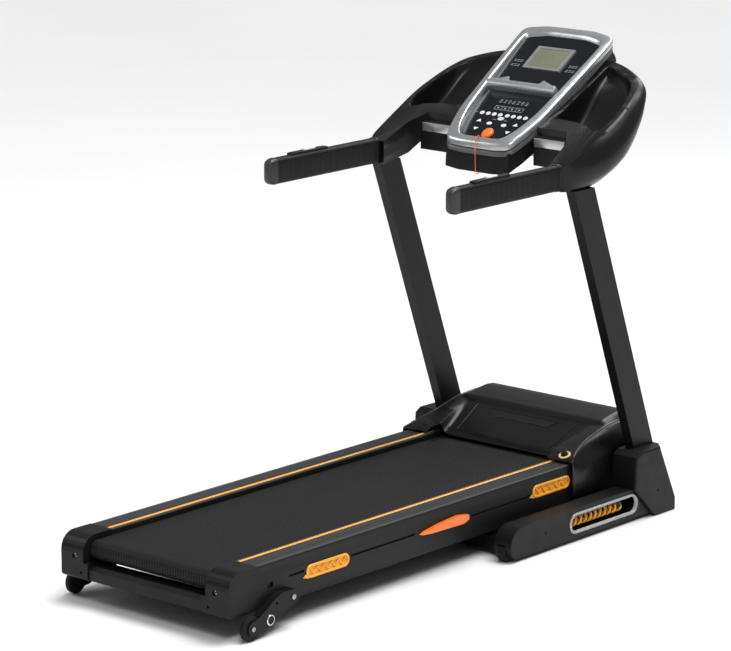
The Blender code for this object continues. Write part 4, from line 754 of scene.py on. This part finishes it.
def build_hood():
    hood = piece("motor_hood_shell", hood_skin(0, HOOD_REAR, HOOD_FRONT, HOOD_BOTTOM), GLOSS, "deck",
                 ["motor_hood"])
    carve(hood, hood_skin(HOOD_WALL, HOOD_REAR - 0.02, HOOD_FRONT - 0.008, HOOD_BOTTOM - 0.03))
    lobe, slant = 0.217, 0.022
    plan = [(lobe, HOOD_REAR - 0.02), (lobe, HOOD_REAR + 0.02), (lobe - slant, HOOD_MOUTH)]
    plan += [(-x, y) for x, y in reversed(plan)]
    carve(hood, skin([[at(x, y, z) for x, y in plan] for z in (0.05, 0.35)]))
    for side in (1, -1):
        hole = skin([[at(side * x, y, z) for y, z in arc((0.785, 0.150), 0.0084, 0, 360, 20)[:-1]] for x in (0.29, 0.32)])
        carve(hood, hole)
    for node in ("power_inlet", "power_switch"):
        low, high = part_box(node)
        margin = Vector((0.0004, 0.03, 0.0004))
        carve(hood, block(Vector(low) - margin, Vector(high) + margin))
    soften(hood, 0.0016, 40)

    # A thin pale grey tube along each crest of the hood: a painted highlight for the catch light on the crease.
    for name, side in SIDES.items():
        ys = [0.532 + 0.29 * i / 40 for i in range(41)]
        crest = [at(side * (curved(TOP_EDGE, y) - 0.001), y, curved(SHOULDER, y) + 0.0001) for y in ys]
        piece(f"hood_edge_highlight_{name}", tube(crest, 0.0010, 8), EDGE_HIGHLIGHT_GREY, "deck")

    low, high = (0.098, 0.662), (0.118, 0.690)
    plan = [(-low[0], low[1]), low, high, (-high[0], high[1])]
    rows = []
    for j in range(9):
        half, y = (a + (b - a) * j / 8 for a, b in zip(low, high))
        rows.append([on_hood(-half + 2 * half * i / 20, y, 0.0006) for i in range(21)])
    grid = bmesh.new()
    made = [[grid.verts.new(p) for p in row] for row in rows]
    for first, second in zip(made, made[1:]):
        for i in range(len(first) - 1):
            grid.faces.new((first[i], first[i + 1], second[i + 1], second[i]))
    solid = bmesh.ops.extrude_face_region(grid, geom=list(grid.faces))
    bmesh.ops.translate(grid, vec=(0, 0, -0.0012), verts=[v for v in solid["geom"] if isinstance(v, bmesh.types.BMVert)])
    bmesh.ops.recalc_face_normals(grid, faces=grid.faces)
    piece("hood_vent_patch", grid, PATCH, "deck")
    outline = [on_hood(x, y, 0.0004) for a, b in zip(plan, plan[1:] + plan[:1])
               for x, y in [(a[0] + (b[0] - a[0]) * i / 14, a[1] + (b[1] - a[1]) * i / 14) for i in range(14)]]
    piece("hood_vent_rim", tube(outline, 0.0011, 8, closed=True), GLOSS, "deck")
    for name, side in SIDES.items():
        ridge = [on_hood(side * (0.166 + 0.013 * i / 20), 0.585 + 0.112 * i / 20, 0.0002) for i in range(21)]
        piece(f"hood_ridge_{name}", tube(ridge, 0.0016, 8), GLOSS, "deck")

    def knob(name, x, y, profile, material):
        base = on_hood(x, y, 0)
        ahead = (on_hood(x, y + 0.01, 0) - on_hood(x, y - 0.01, 0)).normalized()
        across = (on_hood(x + 0.008, y, 0) - on_hood(x - 0.008, y, 0)).normalized()
        up = across.cross(ahead)
        rings = [[base + across * (r * math.cos(a)) + ahead * (r * math.sin(a)) + up * out
                  for a in [2 * math.pi * k / 28 for k in range(28)]] for r, out in profile]
        piece(name, skin(rings), material, "deck")

    x, y = 0.262, 0.5335
    knob("lobe_ring", x, y, ((0.0175, -0.002), (0.0175, 0.0010), (0.0165, 0.0020), (0.0130, 0.0024), (0.0115, 0.0014)),
         BRASS_RING)
    knob("lobe_knob", x, y, ((0.0100, 0.0008), (0.0100, 0.0060), (0.0085, 0.0078), (0.0050, 0.0084)), PLASTIC)
    knob("lobe_screw", -0.246, 0.541, ((0.0080, -0.001), (0.0080, 0.0012), (0.0060, 0.0022), (0.0030, 0.0012)),
         PLASTIC)


# ---------------------------------------------------------------- console body

RIM_AT_ORIGIN, RIM_SLOPE = 0.827, 0.503
BODY_DEPTH = ((0.409, 0.067), (0.500, 0.112), (0.600, 0.136), (0.660, 0.127), (0.720, 0.098), (0.760, 0.062),
              (0.860, 0.040))
BODY_FRONT_EDGE = ((0.245, 0.547), (0.277, 0.500), (0.291, 0.409))
FRONT_DEPTH = (0.50, 0.78)  # the share of its depth that the body has at the first two corners
BODY_OUTER_EDGE = ((0.337, 0.409), (0.350, 0.440), (0.356, 0.540), (0.358, 0.623), (0.349, 0.680), (0.332, 0.738),
                   (0.307, 0.781), (0.270, 0.809), (0.220, 0.833), (0.152, 0.850), (0.075, 0.857), (0.0, 0.858))
SWELL = ((0.0, 0.0), (0.18, 0.018), (0.50, 0.030), (0.80, 0.022), (1.0, -0.006))
WELL_PLAN = ((0.566, 0.314, 0.326), (0.572, 0.302, 0.334), (0.582, 0.282, 0.338), (0.590, 0.232, 0.340),
             (0.596, 0.172, 0.341), (0.620, 0.172, 0.342), (0.672, 0.172, 0.334), (0.726, 0.172, 0.318),
             (0.765, 0.172, 0.296), (0.791, 0.172, 0.262), (0.812, 0.172, 0.215), (0.822, 0.172, 0.185))
WELL_DEPTH = ((0.566, 0.055), (0.596, 0.085), (0.620, 0.095), (0.660, 0.090), (0.720, 0.064), (0.765, 0.036),
              (0.822, 0.022))
WELL_MIDDLE = (0.26, 0.68)
EDGE_STEPS = 5


def rim(y):
    return RIM_AT_ORIGIN + RIM_SLOPE * y


def body_ring(share):
    swell = curved(SWELL, share)
    outer = [(p.x, p.y) for p in spline([(x, y, 0) for x, y in BODY_OUTER_EDGE], EDGE_STEPS)]
    points = []
    for i, (x, y) in enumerate(BODY_FRONT_EDGE + tuple(outer)):
        wide = swell * min(1.0, max(0.0, y - 0.42) / 0.14) if i >= len(BODY_FRONT_EDGE) - 1 else 0.0
        outward = min(1.0, x / 0.20)
        tuck = 0.16 * max(0.0, y - 0.56) * max(0.0, share - 0.8) / 0.2
        depth = curved(BODY_DEPTH, y) * (FRONT_DEPTH[i] if i < len(FRONT_DEPTH) else 1.0)
        points.append(at(x + (wide - tuck) * outward, y - tuck * 0.6, rim(y) - share * depth))
    return points[:-1] + [Vector((-p.x, p.y, p.z)) for p in reversed(points[:-1])]


def well_ring(share, rise, pull):
    rails = ([], [])
    for y, near, far in WELL_PLAN:
        place = y + (WELL_MIDDLE[1] - y) * pull
        height = rim(place) + rise - share * curved(WELL_DEPTH, place)
        for rail, x in zip(rails, (far, near)):
            rail.append(at(x + (WELL_MIDDLE[0] - x) * pull, place, height))
    outer, inner = (spline(rail, 3) for rail in rails)
    return outer + inner[::-1]


def build_console_body():
    rings = [body_ring(s) for s in (0.0, 0.05, 0.11, 0.18, 0.28, 0.40, 0.52, 0.64, 0.76, 0.86, 0.94, 1.0)]
    corner = len(BODY_FRONT_EDGE) + 3 * EDGE_STEPS
    body = piece("console_wings", skin(rings, across=corner), GLOSS, "base", ["console_body"])
    for side in (1, -1):
        steps = ((0, 0.03, -0.02), (0, 0, -0.012), (0.03, 0, 0.002), (0.12, 0, 0.012), (0.35, 0, 0.02),
                 (0.60, 0, 0.035), (0.82, 0, 0.07), (0.95, 0, 0.12), (1.0, 0, 0.20))
        carve(body, flipped(skin([well_ring(*s) for s in steps], across=1), side))
    clear = 0.0006
    plan = pointed(FACE_OUTER, clear)
    shelf = BEZEL_HEIGHT + 0.001
    carve(body, skin([[at(x, y, frame_z(y) + 0.02) for x, y in plan], [at(x, y, frame_z(y) - shelf) for x, y in plan],
                      housing_floor(clear)]))
    soften(body, 0.0025, 42)


# ---------------------------------------------------------------- console head

FRAME_Y, FRAME_Z, FRAME_SLOPE = 0.461, 1.063, 0.6203
FACE_Z, FACE_SLOPE = 1.038, 0.66
BEZEL_HEIGHT = 0.0297
FACE_OUTER = ((0.060, -0.007), (0.111, 0.000), (0.130, 0.050), (0.146, 0.120), (0.153, 0.250), (0.160, 0.400),
              (0.162, 0.470), (0.148, 0.486), (0.080, 0.500))
FACE_INNER = ((0.050, 0.016), (0.074, 0.020), (0.098, 0.065), (0.114, 0.130), (0.125, 0.250), (0.133, 0.400),
              (0.134, 0.442), (0.124, 0.455), (0.066, 0.469))


def frame_z(y):
    return FRAME_Z + FRAME_SLOPE * (y - FRAME_Y)


def face_z(y):
    return FACE_Z + FACE_SLOPE * (y - FRAME_Y)


def grown(outline, by):
    """A closed outline moved outwards, with its corners mitred."""
    area = sum(a[0] * b[1] - b[0] * a[1] for a, b in zip(outline, outline[1:] + outline[:1]))
    by = math.copysign(by, by * area)
    points = []
    for before, here, after in zip(outline[-1:] + outline[:-1], outline, outline[1:] + outline[:1]):
        first = (Vector(here) - Vector(before)).normalized()
        second = (Vector(after) - Vector(here)).normalized()
        out = Vector((first.y + second.y, -first.x - second.x)).normalized()
        points.append(tuple(Vector(here) + out * by / max(0.3, out.dot(Vector((first.y, -first.x))))))
    return points


def pointed(corners, grow=0.0):
    """Both halves of a face outline in plan."""
    lean = math.cos(math.atan(FRAME_SLOPE))
    right = [(x, FRAME_Y + v * lean) for x, v in corners]
    return grown(right + [(-x, y) for x, y in reversed(right)], grow)


HOUSING_INSET, HOUSING_LENGTH = 0.002, 0.43
HOUSING_FRONT_DEPTH, HOUSING_BACK_DEPTH = 0.085, 0.060
FRONT_LEAN, BACK_LEAN = -0.004, 0.022


def housing_floor(grow):
    """The console housing's lower outline."""
    ring = []
    for x, y in pointed(FACE_OUTER, grow - HOUSING_INSET):
        share = (y - FRAME_Y) / HOUSING_LENGTH
        depth = HOUSING_FRONT_DEPTH + (HOUSING_BACK_DEPTH - HOUSING_FRONT_DEPTH) * share
        ring.append(at(x, y + FRONT_LEAN + (BACK_LEAN - FRONT_LEAN) * share, frame_z(y) - depth - grow))
    return ring


def whole(corners, grow=0.0):
    """The outline with its corners rounded by subdividing."""
    outline = pointed(corners)
    for _ in range(2):
        smoother = []
        for a, b in zip(outline, outline[1:] + outline[:1]):
            reach = min(0.25, 0.010 / max(1e-6, math.dist(a, b)))
            smoother.append((a[0] + (b[0] - a[0]) * reach, a[1] + (b[1] - a[1]) * reach))
            smoother.append((b[0] + (a[0] - b[0]) * reach, b[1] + (a[1] - b[1]) * reach))
        outline = smoother
    return grown(outline, grow)


def build_bezel():
    """The silver frame round the face: a broad rolled border that falls away to the panel."""
    def ring(corners, grow, height):
        return [at(x, y, height(y)) for x, y in whole(corners, grow)]

    rings = [ring(FACE_OUTER, -0.001, lambda y: frame_z(y) - 0.0190), ring(FACE_OUTER, 0, lambda y: frame_z(y) - 0.0180),
             ring(FACE_OUTER, 0, lambda y: frame_z(y) - 0.0070), ring(FACE_OUTER, -0.0008, lambda y: frame_z(y) - 0.0034),
             ring(FACE_OUTER, -0.0030, lambda y: frame_z(y) - 0.0008), ring(FACE_OUTER, -0.0060, lambda y: frame_z(y) + 0.0006)]
    for grow, rise in ((0.0100, 0.0029), (0.0070, 0.0029), (0.0045, 0.0018), (0.0022, -0.0010)):
        rings.append(ring(FACE_INNER, grow, lambda y, rise=rise: frame_z(y) + rise))
    rings.append(ring(FACE_INNER, 0.0, lambda y: face_z(y) + 0.001 + 0.2 * (frame_z(y) - face_z(y))))
    rings.append(ring(FACE_INNER, 0.0, lambda y: frame_z(y) - BEZEL_HEIGHT))
    rings.append(ring(FACE_INNER, 0.002, lambda y: frame_z(y) - BEZEL_HEIGHT))
    rings.append(ring(FACE_INNER, 0.002, lambda y: frame_z(y) - 0.0190))
    piece("bezel_frame", skin(rings, closed=True), SILVER, "base", ["console_bezel"], angle=50)

    groove = [ring(FACE_OUTER, grow, lambda y, drop=drop: frame_z(y) - drop) for grow, drop in
              ((-0.0045, 0.0190), (-0.0045, 0.0225))]
    groove += [ring(FACE_OUTER, -0.012, lambda y: frame_z(y) - 0.0225), ring(FACE_OUTER, -0.012, lambda y: frame_z(y) - 0.0190)]
    piece("bezel_groove", skin(groove, closed=True), PLASTIC, "base")
    band = [ring(FACE_OUTER, grow, lambda y, drop=drop: frame_z(y) - drop) for grow, drop in
            ((-0.0020, 0.0226), (0.0000, 0.0236), (0.0002, 0.0350), (-0.0012, 0.0362))]
    band += [ring(FACE_OUTER, -0.010, lambda y: frame_z(y) - 0.0362), ring(FACE_OUTER, -0.010, lambda y: frame_z(y) - 0.0226)]
    piece("bezel_band", skin(band, closed=True), SATIN_GREY, "base", angle=50)


def on_face(u, v, out, y):
    """A point u across, v up the face's slope and out from it, from the face's line at y."""
    lean = math.atan(FACE_SLOPE)
    return at(u, y + v * math.cos(lean) - out * math.sin(lean), face_z(y) + v * math.sin(lean) + out * math.cos(lean))


def oval(x, v, half_width, half_height, steps=24):
    return [(x + half_width * math.cos(a), v + half_height * math.sin(a))
            for a in [2 * math.pi * i / steps for i in range(steps)]]


def bar(x, v, width, height):
    return [(x - width / 2, v - height / 2), (x + width / 2, v - height / 2), (x + width / 2, v + height / 2),
            (x - width / 2, v + height / 2)]


PRINT_Y = 0.5785
LEDGE_Y = 0.655


def build_prints():
    """Raised key domes and printed marks on the film, none of them lettering."""
    def place(u, v, out):
        return on_face(u, v, out, PRINT_Y)

    keys = []
    for i in range(4):
        for side in (1, -1):
            keys.append(slab(oval(side * (0.0125 + 0.0212 * i), 0.0, 0.0074, 0.0068), place, 0.0001, 0.0011, 0.0006))
    piece("quick_keys", merged(keys), WHITE, "base")
    dents = []
    for i in range(4):
        for side in (1, -1):
            dents.append(slab(bar(side * (0.0125 + 0.0212 * i), 0.0, 0.0030, 0.0052), place, 0.0011, 0.00125))
    piece("quick_key_marks", merged(dents), PRINT_GREY, "base")

    lines = []
    for v, height in ((0.020, 0.0010), (0.0345, 0.0010)):
        lines.append(slab(bar(0, v, 0.098, height), place, 0.0001, 0.0003))
    for i in range(5):
        lines.append(slab(bar(-0.049 + 0.0245 * i, 0.02725, 0.0010, 0.0145), place, 0.0001, 0.0003))
    for i in range(4):
        middle = -0.03675 + 0.0245 * i
        lines.append(slab([(middle - 0.004, 0.024), (middle + 0.004, 0.02725), (middle - 0.004, 0.0305)], place, 0.0001, 0.0003))
    for side in (1, -1):
        lines.append(slab(bar(side * 0.0195, -0.0200, 0.012, 0.0012), place, 0.0001, 0.0003))
        lines.append(slab(bar(side * 0.0955, 0.0, 0.010, 0.0012), place, 0.0001, 0.0003))
    for row in range(3):
        for i in range(7):
            wide = 0.010 - 0.002 * ((i + row) % 3)
            lines.append(slab(bar(-0.045 + 0.015 * i, 0.050 + 0.0052 * row, wide, 0.0015), place, 0.0001, 0.0003))
    for side in (1, -1):
        for row, count in ((0, 3), (1, 3), (3, 3), (4, 3)):
            for i in range(count):
                wide = 0.0085 - 0.0015 * ((i + row) % 2)
                lines.append(slab(bar(side * (0.0855 + 0.011 * i), 0.2260 - 0.0062 * row, wide, 0.0014), place, 0.0001, 0.0003))
    piece("panel_marks", merged(lines), PRINT_GREY, "base")

    ovals = [slab(oval(-0.026, -0.0375, 0.0090, 0.0060), place, 0.0001, 0.0012, 0.0006)]
    piece("mode_key", merged(ovals), WHITE, "base")

    for name, side, turn, y in (("speed_up", 1, 1, 0.552), ("speed_down", 1, -1, 0.524), ("incline_up", -1, 1, 0.552),
                                ("incline_down", -1, -1, 0.524)):
        low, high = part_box(f"{name}_button")
        x = (low[0] + high[0]) / 2
        mark = [(x - 0.0088, -0.0052 * turn), (x + 0.0088, -0.0052 * turn), (x, 0.0062 * turn)]
        mesh = slab(mark, lambda u, v, out, y=y: on_face(u, v, out, y), 0.0015, 0.0019)
        piece(f"{name}_arrow", mesh, WHITE, f"{name}_button")
        for holder in NODES[f"{name}_button"].material_slots:
            holder.material = FILM
    for holder in NODES["start_button"].material_slots:
        holder.material = PALE_BLUE


def build_display():
    low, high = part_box("display_window")
    y = 0.780
    half_width, half_height = (high[0] - low[0]) / 2 * 0.79, 0.046 * 0.81
    pane = slab(bar(0, 0, half_width * 2, half_height * 2), lambda u, v, out: on_face(u, v, out, y), 0.0021, 0.0030)
    piece("display_pane", pane, SCREEN, "base")


def build_ledge():
    """The folding reading ledge: a rolled bar, its two book stops, and the lip under it."""
    y, half = LEDGE_Y, 0.118
    section = [(0.0004, 0.003), (0.0120, 0.0020), (0.0240, 0.003), (0.0285, 0.0065), (0.0298, 0.0115), (0.0290, 0.0180),
               (0.0262, 0.0222), (0.0220, 0.0240), (0.0120, 0.0252), (0.0040, 0.0262), (0.0004, 0.0268)]
    rings = []
    for x, shrink in ((-half, 0.12), (-half + 0.002, 0.03), (-half + 0.006, 0.0), (half - 0.006, 0.0), (half - 0.002, 0.03),
                      (half, 0.12)):
        rings.append([on_face(x, 0.0145 + (v - 0.0145) * (1 - shrink), out * (1 - shrink) + 0.0004 * shrink, y)
                      for out, v in section])
    parts = [skin(rings)]
    for side in (1, -1):
        flap = [(side * 0.108, 0.0205), (side * 0.050, 0.0205), (side * 0.0515, 0.0230), (side * 0.0600, 0.0405),
                (side * 0.0625, 0.0415), (side * 0.0660, 0.0405), (side * 0.106, 0.0235)]
        parts.append(slab(flap, lambda u, v, out: on_face(u, v, out, y), 0.0185, 0.0225, 0.0008))
    piece("ledge_bar", merged(parts), SILVER, "base", ["reading_ledge"])


def build_key():
    """The magnetic safety key's smooth dome, with a finger hollow."""
    y = 0.510
    rings = []
    for out, size in ((0.0003, 0.97), (0.0012, 1.0), (0.0040, 1.05), (0.0065, 1.03), (0.0088, 0.96), (0.0106, 0.84),
                      (0.0117, 0.68), (0.0119, 0.50), (0.0112, 0.30), (0.0109, 0.12)):
        rings.append([on_face(0.0165 * size * math.cos(a), 0.020 * size * math.sin(a), out, y)
                      for a in [2 * math.pi * i / 40 for i in range(40)]])
    piece("safety_key_dome", skin(rings), ORANGE, "safety_key", ["safety_key"], angle=60)


def build_pulse_plates():
    """The bright contact plate along the top of each pulse bar's front."""
    low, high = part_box("pulse_bar_right")
    front, top = low[1] - SHIFT, high[2]
    section = ((-0.0040, top - 0.0065), (-0.0020, top - 0.0054), (0.0006, top - 0.0076), (0.0014, top - 0.0120),
               (0.0014, top - 0.0270), (0.0008, top - 0.0295), (-0.0005, top - 0.0300))
    for name, side in SIDES.items():
        rings = []
        for x, shrink in ((low[0] + 0.0015, 1.0), (low[0] + 0.0030, 0.0), (high[0] - 0.0080, 0.0), (high[0] - 0.0065, 1.0)):
            rings.append([at(side * x, front - (out if not shrink else min(out, 0.0002)), z) for out, z in section])
        piece(f"pulse_plate_{name}", skin(rings), SILVER, "base")


# ---------------------------------------------------------------- grips and small fittings


def rounded_box_ring(centre, half, height, corner, y, steps=6):
    ring = []
    for turn, sx, sz in ((0, 1, 1), (90, -1, 1), (180, -1, -1), (270, 1, -1)):
        spot = (centre[0] + sx * (half - corner), centre[1] + sz * (height - corner))
        ring += [Vector((x, y, z)) for x, z in arc(spot, corner, turn, turn + 90, steps)]
    return ring


def build_grips():
    """Each grip's ribbed sleeve with its hard rocker pod, the end cap, and the collar at the console's arm."""
    for name, side in SIDES.items():
        low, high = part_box(f"grip_{name}")
        rear, front = low[1], high[1]
        end_x, root_x = (0.3182, 0.3212)
        middle_z = 1.004
        rings = []
        start, stop = rear + 0.0200, front - 0.0008
        ribs = 84
        pitch = (stop - start) / ribs
        for rib in range(ribs):
            for share, sunk in ((0.0, 0.0005), (0.15, 0.0001), (0.80, 0.0001), (0.95, 0.0005)):
                y = start + (rib + share) * pitch
                x = end_x + (root_x - end_x) * (y - rear) / (front - rear)
                rings.append(rounded_box_ring((side * x, middle_z), 0.0165 - sunk, 0.036 - sunk, 0.013 - sunk, y))
        piece(f"grip_sleeve_{name}", skin(rings), FOAM, "base", (f"grip_{name}",), angle=55)
        centre = side * (end_x + 0.0015)
        pod = []
        for y, drop, half in ((0.0465, 0.0040, 0.0080), (0.0480, 0.0016, 0.0092), (0.0530, 0.0002, 0.0099), (0.0700, 0.0, 0.0100),
                              (0.1800, 0.0, 0.0100), (0.1940, 0.0002, 0.0099), (0.1985, 0.0016, 0.0092), (0.1996, 0.0040, 0.0080)):
            top = 1.0458 - drop
            section = [(-half, 1.0370), (-half, top - 0.0022), (-half + 0.0007, top - 0.0007), (-half + 0.0026, top),
                       (half - 0.0026, top), (half - 0.0007, top - 0.0007), (half, top - 0.0022), (half, 1.0370)]
            pod.append([at(centre + x, y, z) for x, z in section])
        pod = piece(f"grip_pod_{name}", skin(pod), PLASTIC, "base", angle=50)
        carve(pod, block(at(centre - 0.0069, 0.1028, 1.0412), at(centre + 0.0069, 0.1472, 1.0600)))
        cap = []
        for along, wide in ((-0.0006, 0.48), (0.0004, 0.62), (0.0035, 0.78), (0.0090, 0.91), (0.0160, 0.982), (0.0205, 1.02),
                            (0.0212, 1.00), (0.0218, 0.965), (0.0224, 1.00), (0.0232, 1.03), (0.0262, 1.035), (0.0270, 1.02)):
            x = side * (end_x + (root_x - end_x) * along / (front - rear))
            cap.append(rounded_box_ring((x, middle_z), 0.0165 * wide, 0.036 * (0.3 + 0.7 * wide), 0.013 * wide, rear + along))
        piece(f"grip_cap_{name}", skin(cap), CAP_GREY, "base", angle=50)
        collar = [rounded_box_ring((side * root_x, middle_z), 0.0165 + grow, 0.036 + grow, 0.013 + grow, front - back)
                  for back, grow in ((0.0150, -0.0004), (0.0145, 0.0008), (0.0120, 0.0014), (0.0030, 0.0014), (0.0006, 0.0004))]
        piece(f"grip_collar_{name}", skin(collar), PLASTIC, "base", angle=50)


def bolt(name, side, x, y, z, radius, depth, material, body):
    """A socket-headed screw looking out along X."""
    profile = [(x - 0.001, radius), (x + depth * 0.7, radius), (x + depth, radius * 0.86), (x + depth, radius * 0.45),
               (x + depth * 0.35, radius * 0.42)]
    piece(name, flipped(turned(profile, (y, z), 28), side), material, body)


def build_fasteners():
    boot_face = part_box("upright_boot_right")[1][0]
    for name, side in SIDES.items():
        bolt(f"cover_screw_{name}", side, COVER_FACE - 0.0050, 0.285, 0.055, 0.0036, 0.0030, PLASTIC, "base")
        bolt(f"boot_screw_{name}", side, boot_face - 0.0050, 0.780, 0.073, 0.0036, 0.0030, PLASTIC, "base")
        foot_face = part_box(f"level_foot_right")[1][0] - 0.003
        body = f"level_foot_{name}"
        ring = [(foot_face - 0.0005, 0.0142), (foot_face + 0.0016, 0.0142), (foot_face + 0.0030, 0.0128),
                (foot_face + 0.0030, 0.0112), (foot_face + 0.0012, 0.0104), (foot_face - 0.0005, 0.0104)]
        rings = [[at(x, y, z) for y, z in arc((-0.738, 0.043), r, 0, 360, 36)[:-1]] for x, r in ring]
        piece(f"foot_ring_{name}", flipped(skin(rings, closed=True), side), CHROME, body)
        bolt(f"foot_pivot_{name}", side, foot_face, -0.650, 0.083, 0.0070, 0.0022, ZINC, body)
        bolt(f"foot_axle_{name}", side, foot_face, -0.800, 0.033, 0.0062, 0.0020, ZINC, body)
        low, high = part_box(f"rear_cap_{name}")
        for label, x, z, radius in (("upper", 0.247, 0.1275, 0.0066), ("lower", 0.224, 0.086, 0.0034)):
            rings = [[at(side * (x + u), DECK_REAR + back, z + w) for u, w in arc((0, 0), r, 0, 360, 24)[:-1]]
                     for back, r in ((0.011, radius), (0.006, radius), (0.005, radius * 0.85), (0.005, radius * 0.5),
                                     (0.009, radius * 0.45))]
            piece(f"cap_screw_{label}_{name}", skin(rings), ZINC, "deck")


build_strips()
build_bumpers()
build_spring_windows()
build_hood()
build_console_body()
build_bezel()
build_prints()
build_display()
build_ledge()
build_key()
build_pulse_plates()
build_grips()
build_fasteners()


# ---------------------------------------------------------------- floor and light


def build_stage():
    finish = Finish("studio_floor", (0.86, 0.86, 0.86), 0.55)
    finish.mottle(finish.noise(0.8, 2), (0.88, 0.88, 0.88))
    bpy.ops.mesh.primitive_plane_add(size=60, location=(0, 0, -0.0005))
    floor = bpy.context.object
    floor.name = "studio_floor"
    floor.data.materials.append(finish.material)

    world = bpy.data.worlds.new("studio")
    world.use_nodes = True
    background = world.node_tree.nodes["Background"]
    background.inputs["Color"].default_value = (1.0, 1.0, 1.0, 1.0)
    seen = world.node_tree.nodes.new("ShaderNodeLightPath").outputs["Is Camera Ray"]
    strength = world.node_tree.nodes.new("ShaderNodeMapRange")
    strength.inputs["To Min"].default_value = 0.26
    world.node_tree.links.new(seen, strength.inputs["Value"])
    world.node_tree.links.new(strength.outputs["Result"], background.inputs["Strength"])
    bpy.context.scene.world = world

    for name, place, size, power in (("key", (3.2, -3.4, 4.6), 1.6, 90), ("fill", (-4.2, -2.4, 3.2), 2.0, 45),
                                     ("back", (-1.0, 4.6, 4.2), 2.4, 70), ("top", (0.2, 0.3, 5.2), 1.6, 40)):
        light = bpy.data.objects.new(name, bpy.data.lights.new(name, "AREA"))
        light.data.size = size
        light.data.energy = power
        light.location = place
        light.rotation_euler = (Vector(place) - Vector((0, 0.1, 0.5))).to_track_quat("Z", "Y").to_euler()
        bpy.context.scene.collection.objects.link(light)
    sun = bpy.data.objects.new("overhead", bpy.data.lights.new("overhead", "SUN"))
    sun.data.energy = 2.7
    sun.data.angle = math.radians(40)
    sun.rotation_euler = (math.radians(-14), math.radians(16), 0)
    bpy.context.scene.collection.objects.link(sun)
    bpy.context.scene.view_settings.view_transform = "Standard"


build_stage()
